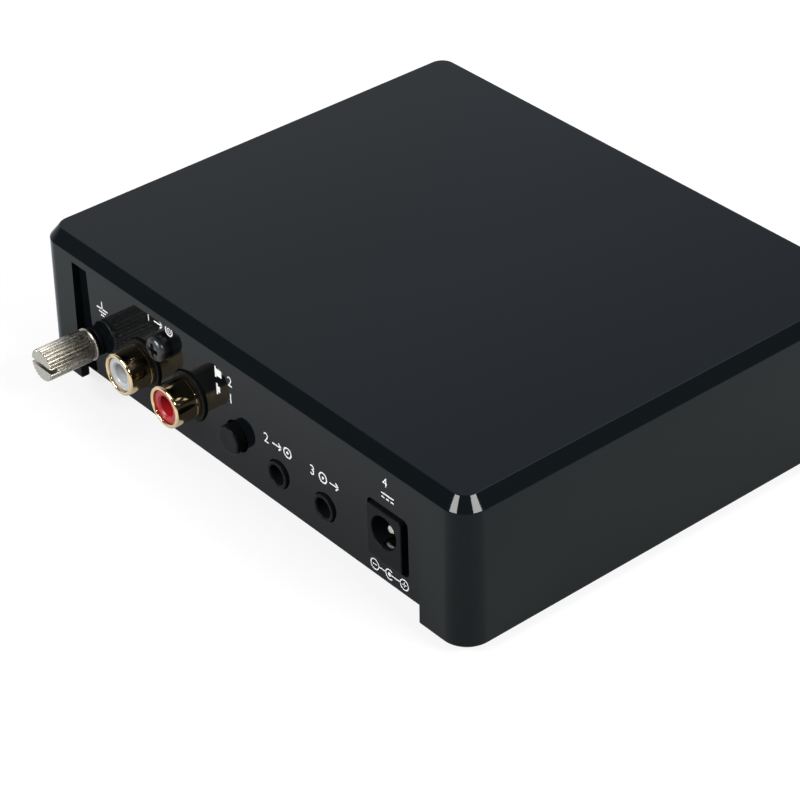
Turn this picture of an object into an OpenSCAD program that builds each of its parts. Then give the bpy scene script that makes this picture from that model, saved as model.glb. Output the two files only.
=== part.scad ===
// Phono preamplifier: a gloss plastic cover over a base plate, with a recessed
// connector panel at the rear. Millimetres, +Z up, the connectors face +Y.
// The origin is on the table, under the middle of the whole outline, connectors included.
// Inside the modules, x = 0 and y = 0 are the middle of the case and z = 0 is the cover's rim.

/* [Cover] */
// Width of the cover at the lower edge of its chamfer
case_w = 120; // [100:1:150]
// Depth of the cover at the lower edge of its chamfer
case_d = 100; // [83:1:130]
// Height of the cover from its rim to its top
case_h = 29.7; // [27:0.1:40]
// How far each side leans out from the chamfer down to the rim
draft = 0.44; // [0:0.02:1]
// Width of the chamfer round the top, seen from above
chamfer_in = 2.0; // [1:0.1:3]
// Height of the chamfer round the top
chamfer_down = 2.4; // [1:0.1:3]
// Radius of the upright corners
corner_r = 4.75; // [3.2:0.05:8]
// Wall of the cover's sides and front
cover_wall = 2.0; // [1.6:0.1:3]
// Thickness of the cover's top
cover_top = 2.2; // [1.6:0.1:3]
// Wall of the cover's rear, which is how deep the panel sits
panel_recess = 1.4; // [1:0.1:2.5]
// From the cover's side to the side of the rear window
window_inset = 10.1; // [9:0.1:14]
// How much wider the leg by the power socket is than the other
power_leg_extra = 0.9; // [0:0.1:1.5]
// Height of the strip of wall left above the rear window
window_strip = 1.5; // [0.8:0.1:3]

/* [Base and feet] */
// Thickness of the base plate
base_t = 2.0; // [1.6:0.1:3]
// How far the base plate sits up inside the rim
base_lift = 0.5; // [0.2:0.1:1]
// Gap round the base plate
base_gap = 0.3; // [0.2:0.05:0.6]
// How far the feet stand below the rim
foot_stand = 2.5; // [1:0.1:5]
// Diameter of a foot
foot_d = 10; // [7:0.5:12]
// From the case's side to the middle of a foot
foot_inset_x = 18; // [16:0.5:25]
// From the case's front or rear to the middle of a foot
foot_inset_y = 15; // [14:0.5:22]
// Head diameter of a cover screw
case_screw_head_d = 5.0; // [4:0.1:6]
// Thread diameter of a cover screw
case_screw_d = 2.5; // [2:0.1:3]

/* [Rear panel] */
// Thickness of the rear panel
panel_t = 2.0; // [1.5:0.1:3]
// Lower edge of the panel above the rim
panel_lift = 1.7; // [1:0.1:3]
// Gap between a round connector and its hole in the panel
hole_gap = 0.2; // [0.1:0.05:0.4]
// Gap between the power socket and its hole in the panel
square_hole_gap = 0.35; // [0.2:0.05:0.6]
// Radius in the corners of that hole
square_hole_r = 1.2; // [0.5:0.1:2]

/* [Circuit board] */
// Top of the circuit board above the rim
board_top = 6.0; // [5.4:0.1:8]
// Thickness of the circuit board
board_t = 1.6; // [1:0.1:2]
// Gap between the board and the cover's screw posts
board_gap = 1.2; // [0.6:0.1:2]

/* [Phono sockets] */
// Place of the pair along the panel, as a share of the window's half width
rca_at = 0.472; // [0.45:0.002:0.5]
// Distance between the two sockets
rca_pitch = 14.0; // [12.4:0.05:14.5]
// Height of their centres above the board
rca_rise = 6.2; // [5.4:0.1:7.5]
// Outside diameter of a socket's shell
rca_shell_d = 8.3; // [7.8:0.05:8.6]
// Inside diameter of a socket's shell
rca_shell_bore = 6.7; // [6.2:0.05:7.1]
// How far a shell stands out of the panel
rca_proud = 6.0; // [5:0.1:9]
// Bore of the centre contact
rca_contact_bore = 3.3; // [3.1:0.05:3.6]
// Rise of the mounting screw above the sockets' centres
rca_screw_rise = 7.4; // [6.8:0.1:8]
// Head diameter of the mounting screw
rca_screw_head_d = 5.0; // [4:0.1:5.5]

/* [Ground terminal] */
// Place along the panel, as a share of the window's half width
ground_at = 0.928; // [0.9:0.002:0.932]
// Height of its centre above the rim
ground_z = 9.4; // [8.2:0.1:12]
// Outside diameter of the knurled thumbscrew
thumb_d = 6.5; // [6:0.1:7.5]
// Length of the knurled thumbscrew's head
thumb_len = 10.4; // [7:0.1:14]
// Number of grooves round it
thumb_flutes = 26; // [18:1:36]
// Depth of a groove
flute_depth = 0.28; // [0.15:0.01:0.4]
// Thread diameter of its shank
thumb_shank_d = 2.9; // [2.5:0.1:3.2]
// Gap left for a fork terminal, as drawn
fork_gap = 0.8; // [0.5:0.05:1.5]
// Thickness of the loose washer behind the head
thumb_washer_t = 0.5; // [0.4:0.05:1]
// Diameter of that washer
thumb_washer_d = 6.6; // [6:0.1:7.5]

/* [Selector button] */
// Place along the panel, as a share of the window's half width
selector_at = 0.056; // [0.05:0.002:0.066]
// Height of its centre above the board
selector_rise = 4.4; // [4.3:0.05:5.5]
// Diameter of the round cap
selector_cap_d = 5.7; // [5:0.1:6.5]
// How far the cap stands out of the panel
selector_proud = 2.1; // [1.5:0.1:3]
// Gap round the cap
selector_gap = 0.35; // [0.3:0.05:0.6]
// Travel of the cap
selector_travel = 1.5; // [1:0.1:2]

/* [Mini jacks] */
// Place of the line input along the panel, as a share of the window's half width
line_in_at = -0.18; // [-0.2:0.002:-0.17]
// Place of the line output along the panel, as a share of the window's half width
line_out_at = -0.44; // [-0.46:0.002:-0.43]
// Height of their centres above the board
jack_rise = 2.45; // [2.4:0.05:3.2]
// Bore of a 3.5 mm jack
jack_bore = 3.6; // [3.55:0.05:3.8]
// Diameter of a jack's nose
jack_nose_d = 5.4; // [5:0.1:6]
// How far a nose stands out of the panel
jack_proud = 0.5; // [0.2:0.1:2]

/* [Power socket] */
// Place along the panel, as a share of the window's half width
dc_at = -0.774; // [-0.8:0.002:-0.77]
// Width of the socket's face
dc_w = 9.0; // [8.5:0.1:10]
// Height of the socket's face
dc_h = 11.0; // [10.5:0.1:12]
// Height of the hole's centre above the board
dc_rise = 6.5; // [6:0.1:7]
// Diameter of the hole
dc_bore = 6.3; // [6:0.1:6.6]
// Diameter of the centre pin
dc_pin_d = 2.0; // [1.6:0.05:2.5]
// How far the face stands out of the panel
dc_proud = 0.6; // [0.3:0.1:2]
// How much wider the panel's hole is on the leg's side
dc_hole_side = 0.9; // [0:0.1:1.2]
// How much higher the panel's hole is above the face
dc_hole_over = 0.25; // [0:0.05:0.5]
// How far the pin's tip lies behind the face
dc_pin_back = 1.5; // [0.5:0.1:3]

/* [Front key and lamp] */
// Place of the key, as a share of half the case's width
key_at = 0.62; // [0.5:0.01:0.7]
// Place of the lamp, as a share of half the case's width
lamp_at = 0.42; // [0.3:0.01:0.45]
// Height of the key and the lamp above the board
key_rise = 4.6; // [4.2:0.1:6]
// Diameter of the key
key_d = 6.0; // [5:0.1:8]
// Gap round the key
key_gap = 0.3; // [0.25:0.05:0.5]
// Travel of the key
key_travel = 0.5; // [0.3:0.05:0.8]
// Diameter of the lamp's light guide
lamp_d = 2.0; // [1.5:0.1:3]

/* [Hidden] */
$fn = 64;
eps = 0.01;
slab = 0.02;
seat_gap = 0.05;
touch = 0.1;
cut = 1;
screw_play = 0.3;
cross_share = 0.58;
cross_depth = 0.6;
head_play = 0.4;

// Cover
half_w = case_w / 2;
half_d = case_d / 2;
cover_segments = 12;
ceiling = case_h - cover_top;
inner_half_w = half_w - cover_wall;
inner_front = -half_d + cover_wall;
inner_rear = half_d - panel_recess;
inner_r = max(0.8, corner_r - cover_wall);
chamfer_foot = case_h - chamfer_down;
window_half = half_w - window_inset;
window_top = chamfer_foot - window_strip;
front_face = half_d + draft;

// Rear panel and what carries it
panel_face = inner_rear;
panel_back = panel_face - panel_t;
panel_half_w = inner_half_w - inner_r - 0.2;
panel_top = ceiling - 0.2;
rib_t = 2.0;
rib_reach = 5.5;
base_top = base_lift + base_t;
base_floor = 0.5;
foot_edge = 0.5;
base_r = max(0.5, inner_r - base_gap);
rib_foot = base_top + 0.3;

// Screw posts under the cover
post_d = 7.0;
post_inset = post_d / 2 + 2.0;
post_x = inner_half_w - post_inset;
post_front = inner_front + post_inset + 0.5;
post_rear = panel_back - rib_t - post_d / 2 - 3.0;
case_screw_hole = 9.0;
case_screw_len = case_screw_hole - 1.5;
case_screw_head_h = 1.3;
case_screw_pocket = 1.0;

// Circuit board
board_bottom = board_top - board_t;
board_half_w = post_x - post_d / 2 - board_gap;
board_front = inner_front + 3.0;
board_rear = panel_back - 0.7;
board_d = board_rear - board_front;
board_mid = (board_rear + board_front) / 2;
standoff_d = 6.0;
board_screw_d = 2.5;
board_screw_head_d = 4.6;
board_screw_head_h = 1.5;
board_screw_len = board_top - base_lift - base_floor - 0.5;
board_hole_inset = 4.2;
board_holes = [
    [board_half_w - board_hole_inset, board_front + 5.5],
    [-board_half_w + board_hole_inset, board_front + 5.5],
    [board_half_w - board_hole_inset, board_rear - 20],
    [-board_half_w + board_hole_inset, board_rear - 24]
];

// Phono sockets
rca_mid = rca_at * window_half;
rca_z = board_top + rca_rise;
rca_left_x = rca_mid + rca_pitch / 2;
rca_right_x = rca_mid - rca_pitch / 2;
rca_front = panel_face + rca_proud;
rca_block_w = rca_pitch + 10.4;
rca_block_d = 10.0;
rca_block_top = rca_z + 5.6;
rca_ring_d = 9.9;
rca_ring_proud = 0.2;
rca_screw_x = rca_mid;
rca_screw_z = rca_z + rca_screw_rise;
rca_screw_head_h = 2.7;
rca_screw_d = 2.9;
rca_screw_len = 8.0;
rca_ear_w = 9.0;
rca_ear_d = 7.0;
rca_ear_over = 3.6;
rca_tail = 2.2;
rca_back = panel_back - rca_block_d + rca_tail;
rca_root_d = rca_shell_d - 0.4;
rca_mouth_back = 0.5;
rca_mouth = 1.6;
rca_land = 1.2;
rca_land_play = 0.05;
rca_contact_d = rca_contact_bore + 0.8;
rca_contact_back = panel_back - rca_block_d - 0.8;
rca_contact_front = rca_front - rca_mouth_back - rca_mouth - rca_land - 0.1;
rca_leg_w = 1.6;
rca_leg_t = 0.6;

// Ground terminal
ground_x = ground_at * window_half;
bush_flange_t = 0.8;
bush_flange_d = 5.8;
bush_d = 4.8;
bush_in = 5.6;
ground_nut_af = 8.0;
ground_nut_t = 2.7;
tag_t = 0.5;
tag_ring_d = 8.0;
tag_w = 3.0;
thumb_clear = 0.08;
washer_back = panel_face + bush_flange_t + fork_gap;
thumb_back = washer_back + thumb_washer_t;
thumb_front = thumb_back + thumb_len;
thumb_shank_len = 6.5;
thumb_slot_w = 0.95;
thumb_slot_deep = 1.5;
thumb_land = 0.5;
board_notch_x = ground_x - ground_nut_af / 2 - 1.0;
board_notch_y = panel_back - bush_in - 1.5;
tag_foot_x = board_notch_x - tag_w / 2 - 0.6;

// Selector button
selector_x = selector_at * window_half;
selector_z = board_top + selector_rise;
selector_body_w = 8.4;
selector_body_d = 12.0;
selector_body_front = panel_back - 5.0;
selector_stem_w = 2.8;
selector_stem_in = 5.0;
selector_stem_out = 4.4;
selector_stem_play = 0.2;
selector_end_gap = 0.6;
selector_cap_back = selector_body_front + selector_travel + selector_end_gap;
selector_front = panel_face + selector_proud;
selector_edge = 0.3;

// Mini jacks
line_in_x = line_in_at * window_half;
line_out_x = line_out_at * window_half;
jack_z = board_top + jack_rise;
jack_body_w = 6.2;
jack_body_h = 5.0;
jack_body_d = 12.0;
jack_front = panel_face + jack_proud;
jack_bore_len = 13.4;
leaf_t = 0.3;
leaf_w = 0.9;
leaf_len = 9.4;
leaf_start = 1.1;
leaf_back = 0.05;
pocket_gap = 0.1;
pocket_open = 0.4;

// Power socket
dc_x = dc_at * window_half;
dc_z = board_top + dc_rise;
dc_front = panel_face + dc_proud;
dc_body_d = 14.2;
dc_bore_len = 9.6;
dc_pin_root_d = dc_pin_d - 0.4;
dc_pin_tip = dc_front - dc_pin_back;
dc_tag_w = 2.4;
dc_tag_t = 0.4;
dc_leaf_w = 2.4;
dc_leaf_drop = 0.75;
dc_slot_drop = 0.9;

// Front key and lamp
key_x = key_at * half_w;
lamp_x = lamp_at * half_w;
key_z = board_top + key_rise;
key_front = -half_d - 1.0;
key_flange_d = key_d + 2.4;
key_flange_t = 1.0;
key_flange_gap = 0.3;
key_flange_back = inner_front + key_flange_gap + key_flange_t;
key_body_w = 7.0;
key_body_h = 6.8;
key_body_d = 4.0;
key_stem_d = 3.4;
key_stem_len = 3.0;
key_stem_play = 0.3;
key_body_front = key_flange_back + key_travel + 1.1;
key_hole_back = key_flange_back + key_stem_len + key_travel + 0.5;
lamp_front = -half_d - 0.35;
lamp_bend_y = board_front + 4.0;
led_w = 2.0;
led_d = 1.3;
led_h = 0.8;
guide_gap = 0.1;

// Parts on the board
chip_size = [5.0, 6.0, 1.6];
regulator_size = [6.6, 6.0, 2.3];
resistor_size = [1.2, 2.0, 0.55];
film_size = [7.2, 2.6, 6.6];
inductor_d = 8.5;
inductor_h = 4.5;
inductor_dish_d = 5.0;
inductor_dish = 0.6;
cap_d = 8.0;
cap_h = 11.5;
big_cap_d = 10.0;
big_cap_h = 14.0;
radio_w = 16.0;
radio_d = 24.0;
radio_t = 0.8;
shield_h = 2.2;
shield_inset = 1.0;
antenna_d = 7.0;
radio_x = -0.5 * board_half_w;
radio_y = board_front + 0.3 * board_d;

// The outline's ends, which set the origin
front_end = min(-front_face, key_front);
shift_y = -(thumb_front + front_end) / 2;

// Puts what is drawn from the cover's rim into the part's own frame.
module placed() {
    translate([0, shift_y, foot_stand]) children();
}

// The points of a rectangle with round corners.
function rounded_points(w, d, r, n) = [
    for (corner = [0 : 3])
        let (cx = (corner == 0 || corner == 3 ? 1 : -1) * (w / 2 - r))
        let (cy = (corner < 2 ? 1 : -1) * (d / 2 - r))
        for (i = [0 : n])
            let (a = 90 * corner + 90 * i / n)
            [cx + r * cos(a), cy + r * sin(a)]
];

// The points of a fluted outline: a circle with shallow grooves.
function fluted_points(r, depth, count) = [
    for (i = [0 : count - 1])
        for (share = [0, 0.3, 0.5, 0.8])
            let (a = 360 * (i + share) / count)
            let (rr = share < 0.4 ? r : r - depth)
            [rr * cos(a), rr * sin(a)]
];

// A thin plate with round corners, for hulling.
module plate(w, d, r, z) {
    translate([0, 0, z])
        linear_extrude(height = slab)
            polygon(rounded_points(w, d, r, cover_segments));
}

// A cylinder along +Y that starts at y.
module rod_y(x, y, z, r, len) {
    translate([x, y, z])
        rotate([-90, 0, 0])
            cylinder(r = r, h = len);
}

// A box given by its middle in x, its rear in y, its foot in z and its size.
module box_at(x, y_rear, z_foot, size) {
    translate([x - size[0] / 2, y_rear - size[1], z_foot])
        cube(size);
}

module at_posts() {
    for (x = [-post_x, post_x])
        for (y = [post_front, post_rear])
            translate([x, y, 0]) children();
}

module at_feet() {
    for (x = [-1, 1])
        for (y = [-1, 1])
            translate([x * (half_w - foot_inset_x), y * (half_d - foot_inset_y), 0])
                children();
}

module at_board_holes() {
    for (p = board_holes)
        translate([p[0], p[1], 0]) children();
}

// The cover: a drafted shell with a chamfered top, open below, with its rear window,
// the ribs behind the panel and the four screw posts.
module cover_outside() {
    hull() {
        plate(case_w + 2 * draft, case_d + 2 * draft, corner_r + draft, 0);
        plate(case_w, case_d, corner_r, chamfer_foot - slab);
        plate(case_w - 2 * chamfer_in, case_d - 2 * chamfer_in,
              max(0.8, corner_r - chamfer_in), case_h - slab);
    }
}

module cover_inside() {
    translate([0, (inner_front + inner_rear) / 2, -cut])
        linear_extrude(height = ceiling + cut)
            polygon(rounded_points(2 * inner_half_w, inner_rear - inner_front, inner_r, cover_segments));
}

module top_cover() {
    color("#17181b") placed() {
        difference() {
            cover_outside();
            cover_inside();
            translate([-window_half + power_leg_extra, inner_rear - cut, -cut])
                cube([2 * window_half - power_leg_extra, panel_recess + draft + 2 * cut,
                      window_top + cut]);
            rod_y(key_x, -half_d - 2 * cut, key_z, key_d / 2 + key_gap, cover_wall + 3 * cut);
            rod_y(lamp_x, -half_d - 2 * cut, key_z, lamp_d / 2 + hole_gap, cover_wall + 3 * cut);
        }
        // Ribs that trap the panel against the rear wall
        for (side = [-1, 1])
            translate([side > 0 ? inner_half_w - rib_reach : -inner_half_w - touch,
                       panel_back - seat_gap - rib_t, rib_foot])
                cube([rib_reach + touch, rib_t, ceiling - rib_foot + touch]);
        // Screw posts
        at_posts()
            translate([0, 0, base_top])
                difference() {
                    cylinder(d = post_d, h = ceiling - base_top + touch);
                    translate([0, 0, -eps])
                        cylinder(d = case_screw_d, h = case_screw_hole);
                }
    }
}

module base_plate() {
    color("#26272a") placed() {
        difference() {
            union() {
                translate([0, (inner_front + base_gap + panel_back) / 2, base_lift])
                    linear_extrude(height = base_t)
                        polygon(rounded_points(2 * (inner_half_w - base_gap),
                                               panel_back - inner_front - base_gap,
                                               base_r, cover_segments));
                at_board_holes()
                    translate([0, 0, base_top - touch])
                        cylinder(d = standoff_d, h = board_bottom - base_top + touch);
            }
            at_posts() {
                translate([0, 0, base_lift - cut])
                    cylinder(d = case_screw_d + screw_play, h = base_t + 2 * cut);
                translate([0, 0, base_lift - cut])
                    cylinder(d = case_screw_head_d + head_play, h = case_screw_pocket + cut);
            }
            at_board_holes()
                translate([0, 0, base_lift + base_floor])
                    cylinder(d = board_screw_d, h = board_bottom);
        }
    }
}

module rubber_feet() {
    color("#1c1c1c") placed()
        at_feet()
            translate([0, 0, -foot_stand])
                rotate_extrude()
                    polygon([
                        [0, 0],
                        [foot_d / 2 - foot_edge - 0.1, 0],
                        [foot_d / 2 - 0.1, foot_edge],
                        [foot_d / 2, foot_stand + base_lift],
                        [0, foot_stand + base_lift]
                    ]);
}

// A pan-head screw whose head's underside is at z = 0 and whose shank points up.
module screw(shank_d, len, head_d, head_h, cross_w) {
    difference() {
        union() {
            cylinder(d = shank_d, h = len);
            translate([0, 0, -head_h])
                rotate_extrude()
                    polygon([
                        [0, 0],
                        [head_d / 2 - 0.7, 0],
                        [head_d / 2 - 0.2, 0.35],
                        [head_d / 2, 0.8],
                        [head_d / 2, head_h],
                        [0, head_h]
                    ]);
        }
        for (a = [0, 90])
            rotate([0, 0, a])
                translate([-cross_share * head_d / 2, -cross_w / 2, -head_h - cut])
                    cube([cross_share * head_d, cross_w, cut + cross_depth * head_h]);
    }
}

module cover_screws() {
    color("#3a3b3d") placed()
        at_posts()
            translate([0, 0, base_lift + case_screw_pocket])
                screw(case_screw_d - 2 * seat_gap, case_screw_len, case_screw_head_d,
                      case_screw_head_h, 0.9);
}

module board_screws() {
    color("#c4c6c8") placed()
        at_board_holes()
            translate([0, 0, board_top])
                rotate([180, 0, 0])
                    screw(board_screw_d - 2 * seat_gap, board_screw_len,
                          board_screw_head_d, board_screw_head_h, 0.8);
}

module panel_hole(x, z, r) {
    rod_y(x, panel_back - cut, z, r, panel_t + 2 * cut);
}

module rear_panel() {
    color("#101114") placed()
        difference() {
            translate([-panel_half_w, panel_back, panel_lift])
                cube([2 * panel_half_w, panel_t, panel_top - panel_lift]);
            for (x = [rca_left_x, rca_right_x])
                panel_hole(x, rca_z, rca_ring_d / 2 + hole_gap);
            panel_hole(rca_screw_x, rca_screw_z, rca_screw_d / 2 + hole_gap);
            panel_hole(ground_x, ground_z, bush_d / 2 + hole_gap);
            panel_hole(selector_x, selector_z, selector_cap_d / 2 + selector_gap);
            for (x = [line_in_x, line_out_x])
                panel_hole(x, jack_z, jack_nose_d / 2 + hole_gap);
            translate([dc_x - dc_hole_side / 2, panel_face + cut,
                       board_top + (dc_h + dc_hole_over) / 2])
                rotate([90, 0, 0])
                    linear_extrude(height = panel_t + 2 * cut)
                        polygon(rounded_points(dc_w + 2 * square_hole_gap + dc_hole_side,
                                               dc_h + 2 * square_hole_gap + dc_hole_over,
                                               square_hole_r, cover_segments));
        }
}

module circuit_board() {
    color("#1f5b35") placed()
        difference() {
            translate([-board_half_w, board_front, board_bottom])
                cube([2 * board_half_w, board_d, board_t]);
            translate([board_notch_x, board_notch_y, board_bottom - cut])
                cube([board_half_w, board_d, board_t + 2 * cut]);
            at_board_holes()
                translate([0, 0, board_bottom - cut])
                    cylinder(d = board_screw_d + screw_play, h = board_t + 2 * cut);
        }
}

module rca_housing() {
    color("#141414") placed()
        difference() {
            union() {
                box_at(rca_mid, panel_back, board_top,
                       [rca_block_w, rca_block_d, rca_block_top - board_top]);
                box_at(rca_screw_x, panel_back, rca_block_top - touch,
                       [rca_ear_w, rca_ear_d, rca_screw_z + rca_ear_over - rca_block_top + touch]);
                for (x = [rca_left_x, rca_right_x])
                    rod_y(x, panel_back - touch, rca_z, rca_ring_d / 2,
                          panel_t + rca_ring_proud + touch);
            }
            for (x = [rca_left_x, rca_right_x]) {
                rod_y(x, rca_back, rca_z, rca_root_d / 2 + seat_gap, rca_block_d + panel_t + cut);
                rod_y(x, panel_back - rca_block_d - cut, rca_z, rca_contact_d / 2 + seat_gap,
                      rca_tail + 2 * cut);
            }
            rod_y(rca_screw_x, panel_back - rca_ear_d - cut, rca_screw_z, rca_screw_d / 2 + seat_gap,
                  rca_ear_d + 2 * cut);
        }
}

// A socket's plated shell: a tube with a rounded rim, whose shoulder seats on the bush ring.
module rca_shell(x) {
    len = rca_front - rca_back;
    shoulder = panel_face + rca_ring_proud - rca_back;
    r_out = rca_shell_d / 2;
    r_in = rca_shell_bore / 2;
    translate([x, rca_back, rca_z])
        rotate([-90, 0, 0])
            rotate_extrude()
                polygon([
                    [r_in, 0],
                    [rca_root_d / 2, 0],
                    [rca_root_d / 2, shoulder],
                    [r_out, shoulder],
                    [r_out, len - 0.3],
                    [r_out - 0.1, len - 0.08],
                    [r_out - 0.3, len],
                    [r_in + 0.15, len],
                    [r_in, len - 0.15]
                ]);
}

module rca_shell_left() {
    color("#d9ab62") placed() rca_shell(rca_left_x);
}

module rca_shell_right() {
    color("#d9ab62") placed() rca_shell(rca_right_x);
}

// The coloured insulator: a tube with a dished mouth that guides the plug's pin.
module rca_insulator(x) {
    len = rca_front - rca_mouth_back - rca_back;
    r_out = rca_shell_bore / 2 - seat_gap;
    r_pin = rca_contact_bore / 2 + rca_land_play;
    r_tube = rca_contact_d / 2 + seat_gap;
    translate([x, rca_back, rca_z])
        rotate([-90, 0, 0])
            rotate_extrude()
                polygon([
                    [r_tube, 0],
                    [r_out, 0],
                    [r_out, len],
                    [r_out - 0.7, len],
                    [r_pin + 0.35, len - 0.9],
                    [r_pin, len - rca_mouth],
                    [r_pin, len - rca_mouth - rca_land],
                    [r_tube, len - rca_mouth - rca_land]
                ]);
}

module rca_insulator_left() {
    color("#e9ecef") placed() rca_insulator(rca_left_x);
}

module rca_insulator_right() {
    color("#c81f2b") placed() rca_insulator(rca_right_x);
}

// The centre contact: a sprung tube with a solder leg down to the board.
module rca_contact(x) {
    len = rca_contact_front - rca_contact_back;
    difference() {
        union() {
            rod_y(x, rca_contact_back, rca_z, rca_contact_d / 2, len);
            translate([x - rca_leg_w / 2, rca_contact_back, board_top])
                cube([rca_leg_w, rca_leg_t, rca_z - board_top]);
        }
        rod_y(x, rca_contact_back + rca_leg_t, rca_z, rca_contact_bore / 2, len);
    }
}

module rca_contact_left() {
    color("#c9a050") placed() rca_contact(rca_left_x);
}

module rca_contact_right() {
    color("#c9a050") placed() rca_contact(rca_right_x);
}

module rca_screw() {
    color("#1b1b1c") placed()
        translate([rca_screw_x, panel_face, rca_screw_z])
            rotate([90, 0, 0])
                screw(rca_screw_d, rca_screw_len, rca_screw_head_d, rca_screw_head_h, 0.9);
}

// Ground terminal: a flanged bush through the panel, its nut and solder tag inside,
// and the thumbscrew with its loose washer outside.
module ground_bush() {
    color("#c9c6be") placed()
        difference() {
            union() {
                rod_y(ground_x, panel_face, ground_z, bush_flange_d / 2, bush_flange_t);
                rod_y(ground_x, panel_back - bush_in, ground_z, bush_d / 2,
                      bush_in + panel_t + touch);
            }
            rod_y(ground_x, panel_back - bush_in - cut, ground_z, thumb_shank_d / 2 + thumb_clear,
                  bush_in + panel_t + bush_flange_t + 2 * cut);
        }
}

module ground_nut() {
    color("#c9c6be") placed()
        difference() {
            translate([ground_x, panel_back - tag_t - ground_nut_t, ground_z])
                rotate([-90, 0, 0])
                    cylinder(r = ground_nut_af / 2 / cos(30), h = ground_nut_t, $fn = 6);
            rod_y(ground_x, panel_back - tag_t - ground_nut_t - cut, ground_z,
                  bush_d / 2 + seat_gap, ground_nut_t + 2 * cut);
        }
}

module ground_tag() {
    color("#b9b39c") placed()
        difference() {
            union() {
                rod_y(ground_x, panel_back - tag_t, ground_z, tag_ring_d / 2, tag_t);
                translate([tag_foot_x - tag_w / 2, panel_back - tag_t, ground_z - tag_w / 2])
                    cube([ground_x - tag_foot_x, tag_t, tag_w]);
                translate([tag_foot_x - tag_w / 2, panel_back - tag_t, board_bottom])
                    cube([tag_w, tag_t, ground_z - board_bottom]);
            }
            rod_y(ground_x, panel_back - tag_t - cut, ground_z, bush_d / 2 + seat_gap, tag_t + 2 * cut);
        }
}

module ground_washer() {
    color("#d8d5cd") placed()
        difference() {
            rod_y(ground_x, washer_back, ground_z, thumb_washer_d / 2, thumb_washer_t);
            rod_y(ground_x, washer_back - cut, ground_z, thumb_shank_d / 2 + thumb_clear,
                  thumb_washer_t + 2 * cut);
        }
}

module ground_thumbscrew() {
    color("#c9c6be") placed()
        difference() {
            union() {
                rod_y(ground_x, thumb_back, ground_z, thumb_d / 2 - flute_depth, thumb_land + touch);
                translate([ground_x, thumb_back + thumb_land, ground_z])
                    rotate([-90, 0, 0])
                        linear_extrude(height = thumb_len - thumb_land)
                            polygon(fluted_points(thumb_d / 2, flute_depth, thumb_flutes));
                rod_y(ground_x, thumb_back - thumb_shank_len, ground_z, thumb_shank_d / 2,
                      thumb_shank_len + touch);
            }
            translate([ground_x - thumb_d, thumb_front - thumb_slot_deep, ground_z - thumb_slot_w / 2])
                cube([2 * thumb_d, thumb_slot_deep + cut, thumb_slot_w]);
        }
}

// Selector: a push-push switch on the board and the round cap on its stem.
module selector_housing() {
    slot_w = selector_stem_w + 2 * selector_stem_play;
    color("#2b2b2d") placed()
        difference() {
            box_at(selector_x, selector_body_front, board_top,
                   [selector_body_w, selector_body_d, 2 * selector_rise - 0.4]);
            translate([selector_x - slot_w / 2,
                       selector_body_front - selector_stem_in - selector_travel - selector_end_gap,
                       selector_z - slot_w / 2])
                cube([slot_w, selector_stem_in + selector_travel + selector_end_gap + cut, slot_w]);
        }
}

module selector_stem() {
    color("#e4e2da") placed()
        translate([selector_x - selector_stem_w / 2, selector_body_front - selector_stem_in,
                   selector_z - selector_stem_w / 2])
            cube([selector_stem_w, selector_stem_in + selector_stem_out, selector_stem_w]);
}

module selector_cap() {
    socket = selector_stem_w + 2 * seat_gap;
    cap_len = selector_front - selector_cap_back;
    color("#18191b") placed()
        difference() {
            translate([selector_x, selector_cap_back, selector_z])
                rotate([-90, 0, 0])
                    rotate_extrude()
                        polygon([
                            [0, 0],
                            [selector_cap_d / 2, 0],
                            [selector_cap_d / 2, cap_len - selector_edge],
                            [selector_cap_d / 2 - selector_edge, cap_len],
                            [0, cap_len]
                        ]);
            translate([selector_x - socket / 2, selector_cap_back - cut, selector_z - socket / 2])
                cube([socket, selector_body_front + selector_stem_out - selector_cap_back + cut + seat_gap,
                      socket]);
        }
}

// A 3.5 mm jack: a low block on the board with a round nose through the panel.
module mini_jack(x) {
    difference() {
        union() {
            box_at(x, panel_back, board_top, [jack_body_w, jack_body_d, jack_body_h]);
            rod_y(x, panel_back - touch, jack_z, jack_nose_d / 2, jack_front - panel_back + touch);
        }
        rod_y(x, jack_front - jack_bore_len, jack_z, jack_bore / 2, jack_bore_len + cut);
        jack_leaves(x, pocket_gap, pocket_open);
    }
}

// The two contact leaves beside a jack's bore. Grown by a gap and opened towards
// the bore, the same shape is their pockets.
module jack_leaves(x, gap, open) {
    for (side = [0, 1])
        translate([x, panel_back - jack_body_d + leaf_start - gap, jack_z])
            mirror([side, 0, 0])
                translate([jack_bore / 2 + leaf_back - open, 0, -leaf_w / 2 - gap])
                    cube([leaf_t + gap + open, leaf_len + 2 * gap, leaf_w + 2 * gap]);
}

module line_in_jack() {
    color("#161617") placed() mini_jack(line_in_x);
}

module line_in_contacts() {
    color("#cfcfc8") placed() jack_leaves(line_in_x, 0, 0);
}

module line_out_jack() {
    color("#161617") placed() mini_jack(line_out_x);
}

module line_out_contacts() {
    color("#cfcfc8") placed() jack_leaves(line_out_x, 0, 0);
}

module dc_jack_housing() {
    color("#151517") placed()
        difference() {
            box_at(dc_x, dc_front, board_top, [dc_w, dc_body_d, dc_h]);
            rod_y(dc_x, dc_front - dc_bore_len, dc_z, dc_bore / 2, dc_bore_len + cut);
            // The pin's seat and the slot under the bore for the spring
            rod_y(dc_x, dc_front - dc_body_d - cut, dc_z, dc_pin_root_d / 2 + seat_gap, dc_body_d);
            translate([dc_x - dc_leaf_w / 2 - pocket_gap, dc_front - dc_bore_len + 0.4,
                       dc_z - dc_bore / 2 - dc_slot_drop])
                cube([dc_leaf_w + 2 * pocket_gap, dc_bore_len - 1.2, 1.6]);
        }
}

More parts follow.
